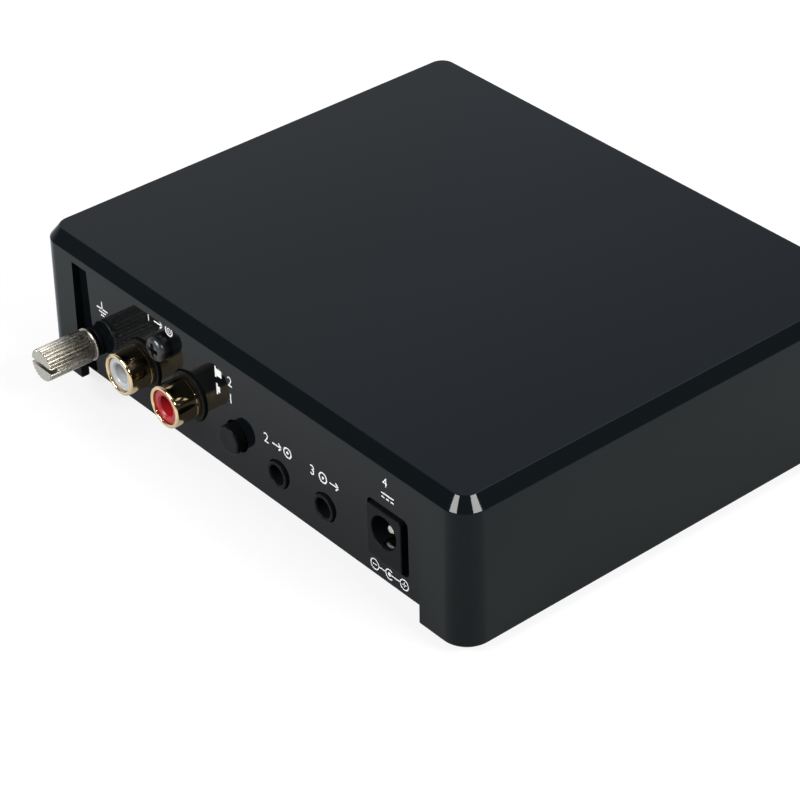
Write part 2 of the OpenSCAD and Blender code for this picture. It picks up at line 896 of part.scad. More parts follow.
// The centre pin: a thinner root through the housing's floor, riveted to the tag behind it.
module dc_jack_pin() {
    back = dc_front - dc_body_d - dc_tag_t;
    len = dc_pin_tip - back;
    shoulder = dc_front - dc_bore_len - back;
    color("#d5d5d0") placed() {
        translate([dc_x, back, dc_z])
            rotate([-90, 0, 0])
                rotate_extrude()
                    polygon([
                        [0, 0],
                        [dc_pin_root_d / 2, 0],
                        [dc_pin_root_d / 2, shoulder],
                        [dc_pin_d / 2, shoulder],
                        [dc_pin_d / 2, len - 0.5],
                        [dc_pin_d / 2 - 0.15, len - 0.15],
                        [dc_pin_d / 2 - 0.5, len],
                        [0, len]
                    ]);
        translate([dc_x - dc_tag_w / 2, back, board_top])
            cube([dc_tag_w, dc_tag_t, dc_z - board_top + dc_tag_w / 2]);
    }
}

module dc_jack_spring() {
    y0 = dc_front - dc_bore_len + 0.5;
    color("#c9c9c4") placed()
        translate([dc_x - dc_leaf_w / 2, y0, dc_z - dc_bore / 2 - dc_leaf_drop])
            rotate([90, 0, 90])
                linear_extrude(height = dc_leaf_w)
                    polygon([
                        [0, 0],
                        [dc_bore_len - 1.5, 0],
                        [dc_bore_len - 1.5, 0.5],
                        [dc_bore_len - 2.2, 0.62],
                        [dc_bore_len - 4.5, 0.35],
                        [0, 0.3]
                    ]);
}

// Front key: a round key behind the cover's front wall that presses a small switch.
module front_key() {
    color("#18191b") placed()
        union() {
            rod_y(key_x, key_front, key_z, key_d / 2, key_flange_back - key_front);
            rod_y(key_x, key_flange_back - key_flange_t, key_z, key_flange_d / 2, key_flange_t);
        }
}

module key_switch_body() {
    color("#2b2b2d") placed()
        difference() {
            translate([key_x - key_body_w / 2, key_body_front, board_top])
                cube([key_body_w, key_body_d, key_body_h]);
            rod_y(key_x, key_body_front - cut, key_z, key_stem_d / 2 + key_stem_play,
                  key_hole_back - key_body_front + cut);
        }
}

module key_switch_stem() {
    color("#d8d4c8") placed()
        rod_y(key_x, key_flange_back, key_z, key_stem_d / 2, key_stem_len);
}

module light_guide() {
    color("#dfe6ea") placed()
        union() {
            rod_y(lamp_x, lamp_front, key_z, lamp_d / 2, lamp_bend_y - lamp_front);
            translate([lamp_x, lamp_bend_y, board_top + led_h + guide_gap])
                cylinder(d = lamp_d, h = key_z - board_top - led_h - guide_gap);
            translate([lamp_x, lamp_bend_y, key_z]) sphere(d = lamp_d);
        }
}

module status_lamp() {
    color("#f2f2e6") placed()
        translate([lamp_x - led_w / 2, lamp_bend_y - led_d / 2, board_top])
            cube([led_w, led_d, led_h]);
}

// Parts on the board
function board_spot(share_x, share_y) =
    [share_x * board_half_w, board_mid + share_y * board_d / 2];

module at_spots(spots) {
    for (s = spots)
        let (p = board_spot(s[0], s[1]))
            translate([p[0], p[1], board_top]) children();
}

// A block of this size that stands on the middle of its foot.
module on_spot(size) {
    translate([-size[0] / 2, -size[1] / 2, 0]) cube(size);
}

module radio_board() {
    color("#123f6b") placed()
        translate([radio_x - radio_w / 2, radio_y - radio_d / 2, board_top])
            cube([radio_w, radio_d, radio_t]);
}

module radio_shield() {
    color("#b8bbbd") placed()
        translate([radio_x - radio_w / 2 + shield_inset, radio_y - radio_d / 2 + antenna_d,
                   board_top + radio_t])
            cube([radio_w - 2 * shield_inset, radio_d - antenna_d - 1.5 * shield_inset, shield_h]);
}

module amplifier_chips() {
    color("#1d1d1f") placed()
        at_spots([[0.46, 0.2], [0.2, 0.2], [0.2, -0.1]])
            on_spot(chip_size);
}

module voltage_regulators() {
    color("#232325") placed()
        at_spots([[-0.82, 0.05], [-0.82, -0.2]])
            on_spot(regulator_size);
}

module power_inductor() {
    color("#3b3b3d") placed()
        at_spots([[-0.6, 0.28]])
            difference() {
                cylinder(d = inductor_d, h = inductor_h);
                translate([0, 0, inductor_h - inductor_dish])
                    cylinder(d = inductor_dish_d, h = inductor_dish + cut);
            }
}

module electrolytic_capacitors() {
    color("#1b2430") placed() {
        at_spots([[0.72, 0.05], [0.72, -0.2], [0.46, -0.15], [0.46, -0.42], [0.72, -0.45],
                  [-0.14, 0.2]])
            cylinder(d = cap_d, h = cap_h);
        at_spots([[-0.36, 0.3], [-0.1, -0.1]])
            cylinder(d = big_cap_d, h = big_cap_h);
    }
}

module film_capacitors() {
    color("#b5342c") placed()
        at_spots([[0.6, 0.36], [0.28, 0.4], [0.24, -0.3], [0.24, -0.42]])
            on_spot(film_size);
}

module chip_resistors() {
    color("#2a2a2a") placed()
        at_spots([for (i = [0 : 4]) for (j = [0 : 2]) [0.02 + 0.055 * i, -0.56 - 0.07 * j]])
            on_spot(resistor_size);
}

top_cover();
base_plate();
rear_panel();
rubber_feet();
cover_screws();
circuit_board();
board_screws();
rca_housing();
rca_shell_left();
rca_shell_right();
rca_insulator_left();
rca_insulator_right();
rca_contact_left();
rca_contact_right();
rca_screw();
ground_bush();
ground_nut();
ground_tag();
ground_washer();
ground_thumbscrew();
selector_housing();
selector_stem();
selector_cap();
line_in_jack();
line_in_contacts();
line_out_jack();
line_out_contacts();
dc_jack_housing();
dc_jack_pin();
dc_jack_spring();
front_key();
key_switch_body();
key_switch_stem();
light_guide();
status_lamp();
radio_board();
radio_shield();
amplifier_chips();
voltage_regulators();
power_inductor();
electrolytic_capacitors();
film_capacitors();
chip_resistors();
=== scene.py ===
# %% [markdown]
# # A phono preamplifier, seen from its rear
#
# The object is a low box of gloss black plastic. Its rear wall has a wide window, and a
# glossy connector panel stands 1.4 mm behind it. The panel carries a knurled ground screw,
# two gold-plated phono sockets, a round button, two small jacks and a power socket.
#
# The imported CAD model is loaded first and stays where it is. Each visible piece is then
# worked out with numpy around it, in millimetres, and scaled to metres as it is made.

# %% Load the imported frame
import bmesh
import bpy
import numpy as np
from mathutils import Matrix, Vector


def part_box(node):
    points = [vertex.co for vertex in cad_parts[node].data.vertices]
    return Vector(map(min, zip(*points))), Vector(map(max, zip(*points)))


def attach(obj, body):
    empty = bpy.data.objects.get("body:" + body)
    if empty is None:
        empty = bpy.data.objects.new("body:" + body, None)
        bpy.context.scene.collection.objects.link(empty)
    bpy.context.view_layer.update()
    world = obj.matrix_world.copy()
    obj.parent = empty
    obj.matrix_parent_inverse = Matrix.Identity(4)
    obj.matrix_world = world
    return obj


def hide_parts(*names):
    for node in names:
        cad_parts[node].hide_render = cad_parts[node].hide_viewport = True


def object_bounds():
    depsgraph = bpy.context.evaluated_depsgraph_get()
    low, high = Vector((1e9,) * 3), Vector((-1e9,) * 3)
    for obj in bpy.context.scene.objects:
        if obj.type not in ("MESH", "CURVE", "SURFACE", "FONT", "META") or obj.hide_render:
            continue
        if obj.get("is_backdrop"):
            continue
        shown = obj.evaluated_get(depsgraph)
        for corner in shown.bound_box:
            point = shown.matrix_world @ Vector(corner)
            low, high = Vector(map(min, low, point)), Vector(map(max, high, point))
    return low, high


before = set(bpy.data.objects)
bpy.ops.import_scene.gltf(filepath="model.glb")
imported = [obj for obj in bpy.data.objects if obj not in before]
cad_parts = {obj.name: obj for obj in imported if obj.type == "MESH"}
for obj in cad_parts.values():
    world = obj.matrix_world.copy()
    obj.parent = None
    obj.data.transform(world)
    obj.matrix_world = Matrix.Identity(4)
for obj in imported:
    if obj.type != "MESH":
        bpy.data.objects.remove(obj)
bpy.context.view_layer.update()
MM = 0.001


# %% [markdown]
# ## Measures
#
# A node's box gives the place and size of most pieces. Values that a box can't give, such
# as the slope of the chamfer, are repeated here from the CAD source, by the same names.

# %% Sizes from the frame
def span(node):
    """The lowest and highest corner of a CAD node, as two arrays in millimetres."""
    return tuple(np.array(corner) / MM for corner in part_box(node))


def middle(node):
    """The middle of a CAD node's box, in millimetres."""
    return sum(span(node)) / 2


def on_axis(node, y):
    """The point at that y on the line along Y through a node's middle."""
    return [1, 0, 1] * middle(node) + [0, y, 0]


cover_lo, cover_hi = span("top_cover")
rim_z = cover_lo[2]
case_h = cover_hi[2] - rim_z
draft, chamfer_in, chamfer_down = 0.44, 2.0, 2.4
corner_r, cover_wall, cover_top, panel_recess = 4.75, 2.0, 2.2, 1.4
window_inset, window_strip = 10.1, 1.5
half_w = (cover_hi[0] - cover_lo[0]) / 2 - draft
half_d = (cover_hi[1] - cover_lo[1]) / 2 - draft
case_y = (cover_hi[1] + cover_lo[1]) / 2
chamfer_z = rim_z + case_h - chamfer_down
panel_lo, panel_hi = span("rear_panel")
panel_back, panel_face = panel_lo[1], panel_hi[1]
print("case", 2 * half_w, 2 * half_d, case_h, "panel face at y", panel_face)


# %% [markdown]
# ## From arrays to meshes
#
# A shape is a grid of points: its rows follow a profile and its columns go round. `skin`
# turns a grid into quads, and `mesh_of` puts one or more such skins into one mesh. Points
# that fall together at a pole or a seam are merged, and the faces are turned outwards.

# %% Grids, skins and objects
doubles, no_area = 1e-7, 1e-8


def skin(grid, around=True, along=False):
    """Quads between neighbouring points of a (rows, columns, 3) grid. around joins the last
    column to the first, and along joins the last row to the first."""
    rows, columns = grid.shape[:2]
    index = np.arange(rows * columns).reshape(rows, columns)
    if around:
        index = np.column_stack([index, index[:, :1]])
    if along:
        index = np.vstack([index, index[:1]])
    quads = np.stack([index[:-1, :-1], index[:-1, 1:], index[1:, 1:], index[1:, :-1]], -1)
    return grid.reshape(-1, 3), quads.reshape(-1, 4)


def cleaned(mesh):
    """Merges points that fall together, drops faces of no area, turns the rest outwards."""
    work = bmesh.new()
    work.from_mesh(mesh)
    bmesh.ops.remove_doubles(work, verts=work.verts, dist=doubles)
    bmesh.ops.dissolve_degenerate(work, edges=work.edges, dist=no_area)
    bmesh.ops.recalc_face_normals(work, faces=work.faces)
    work.to_mesh(mesh)
    work.free()
    return mesh


def mesh_of(name, skins):
    """One clean, smooth mesh from several skins in millimetres."""
    counts = np.cumsum([0] + [len(points) for points, quads in skins])
    points = np.concatenate([points for points, quads in skins]) * MM
    quads = np.concatenate([quads + first for (_, quads), first in zip(skins, counts)])
    mesh = bpy.data.meshes.new(name)
    mesh.from_pydata(points.tolist(), [], quads.tolist())
    cleaned(mesh).shade_smooth()
    return mesh


def new_object(name, data):
    piece = bpy.data.objects.new(name, data)
    bpy.context.scene.collection.objects.link(piece)
    return piece


def solid(name, *grids, along=False):
    """A new object from closed grids."""
    return new_object(name, mesh_of(name, [skin(grid, along=along) for grid in grids]))


print("a skin of 3 by 4 points has", len(skin(np.zeros((3, 4, 3)))[1]), "quads")


# %% [markdown]
# ## Cutting, softening and finishing
#
# Holes could be left out of a grid, but where a hole meets a curved or stepped wall its
# edge is a curve that no grid follows. An exact Boolean finds that curve. What it leaves is
# long thin faces, so `soften` joins faces that lie in one plane, bevels the new edges, and
# weights the normals so that a flat face shades flat up to its bevel.

# %% Booleans, bevels and finished pieces
def baked(piece):
    """Puts the mesh that the modifiers give in place of the piece's own, and drops them."""
    view = bpy.context.evaluated_depsgraph_get()
    mesh = bpy.data.meshes.new_from_object(piece.evaluated_get(view))
    piece.modifiers.clear()
    piece.data = mesh


def carve(piece, *grids, operation="DIFFERENCE"):
    """Cuts closed grids out of a piece, or joins them to it, with an exact Boolean."""
    for grid in grids:
        tool = solid("tool", grid)
        change = piece.modifiers.new("change", "BOOLEAN")
        change.object, change.operation, change.solver = tool, operation, "EXACT"
        baked(piece)
        bpy.data.objects.remove(tool)


sliver, thin, one_plane = 0.006 * MM, 0.004 * MM, np.radians(0.2)


def soften(piece, width=0, angle=30):
    """Joins faces that lie in one plane and weights the normals by area. Where a Boolean cut
    the piece, width is that of a small bevel on each edge sharper than angle."""
    work = bmesh.new()
    work.from_mesh(piece.data)
    if width:
        bmesh.ops.remove_doubles(work, verts=work.verts, dist=sliver)
    bmesh.ops.dissolve_limit(work, angle_limit=one_plane, verts=work.verts, edges=work.edges)
    if width:
        bmesh.ops.dissolve_degenerate(work, edges=work.edges, dist=thin)
    work.to_mesh(piece.data)
    work.free()
    piece.data.shade_smooth()
    if width:
        bevel = piece.modifiers.new("bevel", "BEVEL")
        bevel.width, bevel.segments = width * MM, 2
        bevel.limit_method, bevel.angle_limit = "ANGLE", np.radians(angle)
        bevel.use_clamp_overlap = True
    else:
        piece.data.set_sharp_from_angle(angle=np.radians(angle))
    normals = piece.modifiers.new("normals", "WEIGHTED_NORMAL")
    normals.keep_sharp, normals.weight = True, 80


def moved(piece, function, place):
    """Applies a placing function, such as to_rear, to a piece's own vertices."""
    points = np.empty(3 * len(piece.data.vertices))
    piece.data.vertices.foreach_get("co", points)
    points = function(points.reshape(-1, 3) / MM, place) * MM
    piece.data.vertices.foreach_set("co", points.ravel())
    piece.data.update()
    return piece


def joined(name, *pieces):
    """One object from several, in the order given."""
    work = bmesh.new()
    for piece in pieces:
        work.from_mesh(piece.data)
        bpy.data.objects.remove(piece)
    mesh = bpy.data.meshes.new(name)
    work.to_mesh(mesh)
    work.free()
    mesh.shade_smooth()
    return new_object(name, mesh)


def finish_piece(piece, material, replaces=(), body="root"):
    """Gives a piece its material and its body, and hides the CAD nodes that it stands for."""
    piece.data.materials.clear()
    piece.data.materials.append(material)
    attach(piece, body)
    if replaces:
        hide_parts(*replaces)
    print(piece.name, len(piece.data.vertices), "vertices on", body)


def make(name, skins, material, replaces=(), body="root"):
    """A finished piece from skins alone, for a shape that no Boolean cuts."""
    piece = new_object(name, mesh_of(name, skins))
    soften(piece)
    finish_piece(piece, material, replaces, body)


# %% [markdown]
# ## Profiles
#
# Nothing moulded or turned has a knife edge, so `rounded` replaces each corner of a
# polyline with an arc. `lathe` turns a profile of (radius, height) round an axis, and
# `loft` stacks rounded rectangles, which gives boxes, plates and the case itself.

# %% Profiles, lathes and lofts
def rounded(corners, radii, steps=5):
    """Each corner p with sides along a and b becomes an arc of radius r: its centre is
    p + (a + b) / |a + b| * r / sin(half the angle), and it leaves the sides r / tan(half)
    from p. The first and last corners of the open polyline stay."""
    p = np.asarray(corners, float)
    r = np.broadcast_to(np.asarray(radii, float), len(p) - 2)[:, None]
    a, b = p[:-2] - p[1:-1], p[2:] - p[1:-1]
    a /= np.linalg.norm(a, axis=1, keepdims=True)
    b /= np.linalg.norm(b, axis=1, keepdims=True)
    half = np.arccos(np.clip((a * b).sum(1, keepdims=True), -1, 1)) / 2
    centre = p[1:-1] + (a + b) / np.linalg.norm(a + b, axis=1, keepdims=True) * r / np.sin(half)
    first, last = p[1:-1] + a * r / np.tan(half), p[1:-1] + b * r / np.tan(half)
    sweep = np.pi - 2 * half
    share = np.linspace(0, 1, steps)
    weights = [(np.sin(s * sweep) / np.sin(sweep))[:, None, :] for s in (1 - share, share)]
    arcs = (centre[:, None, :] + weights[0].transpose(0, 2, 1) * (first - centre)[:, None, :]
            + weights[1].transpose(0, 2, 1) * (last - centre)[:, None, :])
    return np.vstack([p[:1], arcs.reshape(-1, 2), p[-1:]])


def lathe(profile, count=64):
    """Turns (radius, height) rows round Z: x = radius cos t, y = radius sin t."""
    turn = np.linspace(0, 2 * np.pi, count, endpoint=False)
    radius, height = np.asarray(profile, float).T[:, :, None]
    return np.stack([radius * np.cos(turn), radius * np.sin(turn), height + 0 * turn], -1)


def loft(half_x, half_y, radius, height, steps=8):
    """A stack of rounded rectangles, one per row. Round each corner, a point is the
    corner's centre plus the radius along the angle t."""
    rows = np.broadcast_arrays(*map(np.atleast_1d, (half_x, half_y, radius, height)))
    hx, hy, r, z = (np.asarray(row, float)[:, None] for row in rows)
    t = np.radians((np.arange(4)[:, None] * 90 + np.linspace(0, 90, steps)).ravel())
    sign_x = np.repeat([1, -1, -1, 1], steps)
    sign_y = np.repeat([1, 1, -1, -1], steps)
    return np.stack([sign_x * (hx - r) + r * np.cos(t), sign_y * (hy - r) + r * np.sin(t),
                     z + 0 * t], -1)


print("a round corner of 5 steps:", len(rounded([(0, 0), (1, 0), (1, 1)], 0.2)), "points")


# %% [markdown]
# Every stack of rings is closed by a point on its axis at each end, so that each tool is a
# closed solid, which a Boolean needs. A bar is closed by a point in the middle of its end
# face. The thin strips have that at their near end only: nothing is cut from them, and
# their tips, at most 0.26 mm thick, stay open.

# %% Blocks, rods and ends
def poled(grid):
    """Closes a stack of rings with a point on the Z axis at each end."""
    return np.vstack([grid[:1] * [0, 0, 1], grid, grid[-1:] * [0, 0, 1]])


def ended(grid, tip=True):
    """Closes a bar whose columns run along it with the mean of an end's points: at its first
    end, and at its last one unless tip is False."""
    first, last = [grid[:, [i]].mean(0, keepdims=True) + 0 * grid[:, :1] for i in (0, -1)]
    return np.concatenate([first, grid, last] if tip else [first, grid], 1)


def block(size, corner, edge, steps=5):
    """A solid block of that size, standing on z = 0: its plan has round corners, and its
    upper and lower edges are quarter circles."""
    width, depth, height = size
    inset, z = rounded([(1, 0), (0, 0), (0, height), (1, height)], edge, 4).T
    inset = np.minimum(inset, edge)
    return poled(loft(width / 2 - inset, depth / 2 - inset,
                      np.maximum(corner - inset, 0.001), z, steps))


def boxed(node, corner, edge, shrink=(0, 0, 0), steps=4):
    """A soft-edged block in place of a CAD node's box, shrunk about the box's middle."""
    lo, hi = span(node)
    return (block(hi - lo - np.array(shrink), corner, edge, steps)
            + [(lo[0] + hi[0]) / 2, (lo[1] + hi[1]) / 2, lo[2]])


def cutter(*size):
    """A block with sharp edges, for cutting with."""
    return block(size, 0.01, 0.01, 2)


def rod(radius, low, high, count=64):
    """A plain cylinder from low to high, for cutting with."""
    return lathe([(0, low), (radius, low), (radius, high), (0, high)], count)


def to_rear(grid, place):
    """Turns a grid's Z to +Y, so that what was drawn upwards points out of the rear."""
    return np.stack([grid[..., 0], grid[..., 2], -grid[..., 1]], -1) + place


def to_front(grid, place):
    """Turns a grid's Z to -Y, out of the front."""
    return np.stack([grid[..., 0], -grid[..., 2], grid[..., 1]], -1) + place


print("a block has", block((2, 1, 1), 0.1, 0.1).shape[:2], "rows and columns")


# %% [markdown]
# ## Materials
#
# A material starts from the real one: its name, its index of refraction and how smooth its
# maker left it. Colours are written as sRGB hex, as one reads them off a screen, and
# `linear` turns them to the linear values that a renderer mixes. `add` makes one node.

# %% Colours and nodes
# A Mix node that mixes colours has them at these inputs, and its result at this output.
COLOUR_A, COLOUR_B, MIXED = 6, 7, 2


def linear(code):
    """sRGB to linear: c / 12.92 below 0.04045, otherwise ((c + 0.055) / 1.055) ** 2.4."""
    c = np.array([int(code[i:i + 2], 16) for i in (1, 3, 5)]) / 255
    value = np.where(c <= 0.04045, c / 12.92, ((c + 0.055) / 1.055) ** 2.4)
    return (*value.tolist(), 1.0)


def add(tree, kind, links=None, **settings):
    """Adds one node. settings are the node's own, and links gives an input either a value
    or the output that it takes."""
    node = tree.nodes.new("ShaderNode" + kind)
    for key, value in settings.items():
        setattr(node, key, value)
    for key, value in (links or {}).items():
        if isinstance(value, bpy.types.NodeSocket):
            tree.links.new(value, node.inputs[key])
        else:
            node.inputs[key].default_value = value
    return node


def surface(name, colour, roughness, **sockets):
    """A material with one Principled shader, and the piece's Object coordinates."""
    material = bpy.data.materials.new(name)
    material.use_nodes = True
    tree = material.node_tree
    shader = tree.nodes["Principled BSDF"]
    shader.inputs["Base Color"].default_value = linear(colour)
    shader.inputs["Roughness"].default_value = roughness
    for key, value in sockets.items():
        shader.inputs[key.replace("_", " ")].default_value = value
    return material, tree, shader, add(tree, "TexCoord").outputs["Object"]


print("mid grey #808080 is", round(linear("#808080")[0], 3), "in linear light")


# %% [markdown]
# No real surface is the same all over. Three small variations serve every finish here: a
# roughness that wanders, two near colours that mix, and a fine relief. Each takes its size
# in millimetres, so a grain of 0.3 mm stays 0.3 mm on a small piece and on a large one.

# %% Variations
def per_mm(size):
    """The scale of a texture whose features are that many millimetres across."""
    return 1000 / size


def vary_roughness(tree, shader, place, size, low, high):
    """Noise of that size moves the roughness between low and high."""
    noise = add(tree, "TexNoise", {"Vector": place, "Scale": per_mm(size), "Detail": 3.0})
    spread = add(tree, "MapRange", {"Value": noise.outputs["Fac"], "From Min": 0.3,
                                    "From Max": 0.7, "To Min": low, "To Max": high})
    tree.links.new(spread.outputs["Result"], shader.inputs["Roughness"])


def vary_colour(tree, shader, place, size, one, two):
    """Noise of that size mixes two near colours."""
    noise = add(tree, "TexNoise", {"Vector": place, "Scale": per_mm(size), "Detail": 3.0})
    mix = add(tree, "Mix", {"Factor": noise.outputs["Fac"], COLOUR_A: linear(one),
                            COLOUR_B: linear(two)}, data_type="RGBA")
    tree.links.new(mix.outputs[MIXED], shader.inputs["Base Color"])


def raise_surface(tree, shader, height, distance):
    """Bump: the height output, from 0 to 1, raises the surface by distance millimetres."""
    bump = add(tree, "Bump", {"Height": height, "Distance": distance * MM})
    tree.links.new(bump.outputs["Normal"], shader.inputs["Normal"])


def grained(tree, shader, place, size, depth):
    """A fine even grain of that size and depth."""
    fine = add(tree, "TexNoise", {"Vector": place, "Scale": per_mm(size), "Detail": 2.0})
    raise_surface(tree, shader, fine.outputs["Fac"], depth)


print("a 0.25 mm grain has the scale", per_mm(0.25))


# %% [markdown]
# ### Plastics
#
# The cover and the panel are moulded in gloss black ABS, whose surface copies a polished
# tool. ABS has an index near 1.5. A lower one is used here, because the case mirrors its
# pale surroundings more faintly than bare ABS does. A mirror finish is never quite even:
# over a few centimetres the wall sinks by microns, and fine dust and hairlines dull it.
#
# The other mouldings come from spark-eroded tools, which leave a fine even grain. It is
# drawn a few tenths of a millimetre across, finer on ink and coarser on a shrunk sleeve.

# %% Gloss and satin plastics
def gloss_plastic(name, colour, low=0.03, high=0.075, wave=0.004, index=1.2):
    """Polished plastic: its roughness wanders over 18 mm, and it swells over 24 mm."""
    material, tree, shader, place = surface(name, colour, low, IOR=index)
    vary_roughness(tree, shader, place, 18, low, high)
    swell = add(tree, "TexNoise", {"Vector": place, "Scale": per_mm(24), "Detail": 1.0})
    raise_surface(tree, shader, swell.outputs["Fac"], wave)
    return material


def satin_plastic(name, colour, roughness=0.35, grain=0.25, depth=0.006, index=1.5):
    """Moulded plastic from a spark-eroded tool: a fine even grain."""
    material, tree, shader, place = surface(name, colour, roughness, IOR=index)
    vary_roughness(tree, shader, place, 3, roughness - 0.06, roughness + 0.08)
    grained(tree, shader, place, grain, depth)
    return material


cover_gloss = gloss_plastic("gloss_black_cover", "#0a0e10")
panel_gloss = gloss_plastic("gloss_black_panel", "#0a0d0f", 0.02, 0.05, 0.002)
key_gloss = gloss_plastic("gloss_black_key", "#0c0d0e", 0.06, 0.12, 0.001, 1.15)
base_satin = satin_plastic("moulded_black_base", "#161719", 0.42, 0.5, 0.01)
housing_satin = satin_plastic("moulded_black_housing", "#0f1112", 0.28, 0.3, 0.001, 1.13)
foot_rubber = satin_plastic("foot_rubber", "#18181a", 0.72, 0.35, 0.012)
# The white insulator's colour is a grey. Part of that is the plastic's own white, and part is
# painted shade from its recess in the socket's mouth.
white_plastic_painted_shade = satin_plastic("white_insulator", "#aeb1b2", 0.3, 0.4, 0.002)
red_plastic = satin_plastic("red_insulator", "#9a1019", 0.3, 0.4, 0.002)
stem_plastic = satin_plastic("pale_acetal_stem", "#d9d6cc", 0.38, 0.4, 0.003)
clear_plastic = satin_plastic("clear_polycarbonate", "#eef2f4", 0.08, 0.5, 0.001, 1.58)
clear_plastic.node_tree.nodes["Principled BSDF"].inputs["Transmission Weight"].default_value = 1.0
ink = satin_plastic("pad_printed_ink", "#e9eaea", 0.45, 0.12, 0.004)
print("plastics", len(bpy.data.materials))


# %% [markdown]
# ### Metals
#
# Plated parts keep the marks of the lathe under their plating, and a roughness that wanders.
# Here the marks are a fine grain, which the gold and the nickel leave out. A metal's colour
# is its mirror colour, so gold is a warm yellow.
# Its index stays at the default, because the metallic shader takes its look from colour.

# %% Plated and plain metals
def metal(name, colour, low, high, size=1.5, tint=None, depth=0.0015):
    """Metal whose roughness wanders over size, whose tint wanders over three times that,
    and whose surface has a grain of 0.15 mm."""
    material, tree, shader, place = surface(name, colour, low, Metallic=1.0)
    vary_roughness(tree, shader, place, size, low, high)
    if tint:
        vary_colour(tree, shader, place, size * 3, colour, tint)
    if depth:
        grained(tree, shader, place, 0.15, depth)
    return material


gold = metal("gold_plate", "#e2c9a2", 0.07, 0.13, 1.2, "#d8bb8c", depth=0)
nickel = metal("nickel_plate", "#b7b3aa", 0.24, 0.32, 1.0, "#aaa498", depth=0)
black_steel = metal("black_oxide_screw", "#47484a", 0.3, 0.44, 0.8)
zinc = metal("zinc_plated_steel", "#c3c6c8", 0.22, 0.36, 0.8, "#b4b8bb")
tinned = metal("tinned_brass", "#d6d3ca", 0.14, 0.26, 0.8, "#c8c3b4")
shield_steel = metal("tinned_shield", "#bfc1c2", 0.3, 0.4, 2.0, "#b2b4b6")
print("materials", len(bpy.data.materials))


# %% [markdown]
# ## The cover
#
# The cover is one moulding, open below: its sides lean out by 0.44 mm so that it leaves
# the tool, a chamfer runs round its top, and the upright corners are round. It could be a
# box with bevels, but a bevel can't give both the chamfer and the draft. So one profile
# goes up the outside, over the chamfer to the middle of the top, back under the ceiling
# and down the inside, and a rounded rectangle carries it round.

# %% The cover's shell
rim_soft, edge_soft, top_soft, top_flat, corner_steps = 0.3, 0.4, 0.18, 20, 16
outer = rounded([(cover_wall, 0), (-draft, 0), (0, case_h - chamfer_down),
                 (chamfer_in, case_h), (half_w - top_flat, case_h)],
                [rim_soft, edge_soft, top_soft], 7)
inset, z = outer[1:-1].T
outside = loft(half_w - inset, half_d - inset, corner_r - inset, z, corner_steps)

ceiling = case_h - cover_top
inner_w = half_w - cover_wall
inner_d = half_d - (cover_wall + panel_recess) / 2
inner = rounded([(top_flat, ceiling), (0, ceiling), (0, 0), (-1, 0)], [0.5, 0.25], 5)
inset, z = inner[1:-1].T
inside = loft(inner_w - inset, inner_d - inset, corner_r - cover_wall, z, corner_steps)
inside[..., 1] += (cover_wall - panel_recess) / 2

shell = np.vstack([outside, outside[-1:] * [0, 0, 1], inside[:1] * [0, 0, 1], inside])
cover = solid("cover", shell + [0, case_y, rim_z], along=True)
print("cover walls", cover_wall, "mm, ceiling at", round(rim_z + ceiling, 2))


# %% [markdown]
# The rear window, the four screw posts, the two ribs that the panel rests against and the
# two front holes come after, by Boolean, as cores and slides make them in the real tool. A
# joined part bites 0.1 mm into the wall, so that the two are surely one solid.

# %% Window, posts, ribs and front holes
past, bite = 5, 0.1
window_half, leg_extra = half_w - window_inset, 0.9
window_z = chamfer_z - window_strip
carve(cover, cutter(2 * window_half - leg_extra, 6, window_z - rim_z + past)
      + [leg_extra / 2, case_y + half_d, rim_z - past])

base_top, post_r, post_bore_r, rib_t, rib_reach, rib_up = 2.5, 3.5, 1.25, 2.0, 5.5, 0.3
post_x = inner_w - post_r - 2
post_ends = [case_y - half_d + cover_wall + post_r + 2.5, panel_back - rib_t - post_r - 3]
posts = [np.array([side * post_x, y, rim_z]) for side in (-1, 1) for y in post_ends]
for post in posts:
    carve(cover, rod(post_r, base_top, ceiling + bite, 48) + post, operation="UNION")
    carve(cover, rod(post_bore_r, base_top - 1, base_top + 9, 32) + post)
for side in (-1, 1):
    rib = cutter(rib_reach + bite, rib_t, ceiling + bite - base_top - rib_up)
    carve(cover, rib + [side * (inner_w - rib_reach / 2 + bite / 2),
                        panel_back - 0.05 - rib_t / 2, rim_z + base_top + rib_up],
          operation="UNION")

key_at, lamp_at = middle("front_key"), middle("light_guide")
key_r, key_gap, lamp_r, lamp_gap, key_z = 3.0, 0.3, 1.0, 0.2, key_at[2]
for x, r in ((key_at[0], key_r + key_gap), (lamp_at[0], lamp_r + lamp_gap)):
    carve(cover, to_front(rod(r, -past, past), [x, case_y - half_d, key_z]))
soften(cover, 0.18)
finish_piece(cover, cover_gloss, ["top_cover"])


# %% [markdown]
# ## The rear panel
#
# The panel is a flat gloss plate with a hole for each connector, cut a little larger than
# what stands in it. A plate with its holes cut by a Boolean keeps its face truly flat,
# which a mirror finish needs, and the bevel gives each hole the thin bright edge that a
# moulded hole has. The power socket's hole is wider on one side and above, where a dark
# gap shows beside the socket.

# %% Panel
hole_gap, selector_gap, square_gap, square_r = 0.2, 0.35, 0.35, 1.2
ring_d, screw_d, bush_d, cap_d, nose_d = 9.9, 2.9, 4.8, 5.7, 5.4
panel = solid("panel", boxed("rear_panel", 0.4, 0.05, steps=3))
for node, diameter, gap in (
        ("rca_shell_left", ring_d, hole_gap), ("rca_shell_right", ring_d, hole_gap),
        ("rca_screw", screw_d, hole_gap), ("ground_bush", bush_d, hole_gap),
        ("selector_cap", cap_d, selector_gap), ("line_in_contacts", nose_d, hole_gap),
        ("line_out_contacts", nose_d, hole_gap)):
    carve(panel, to_rear(rod(diameter / 2 + gap, -past, past), on_axis(node, panel_face)))

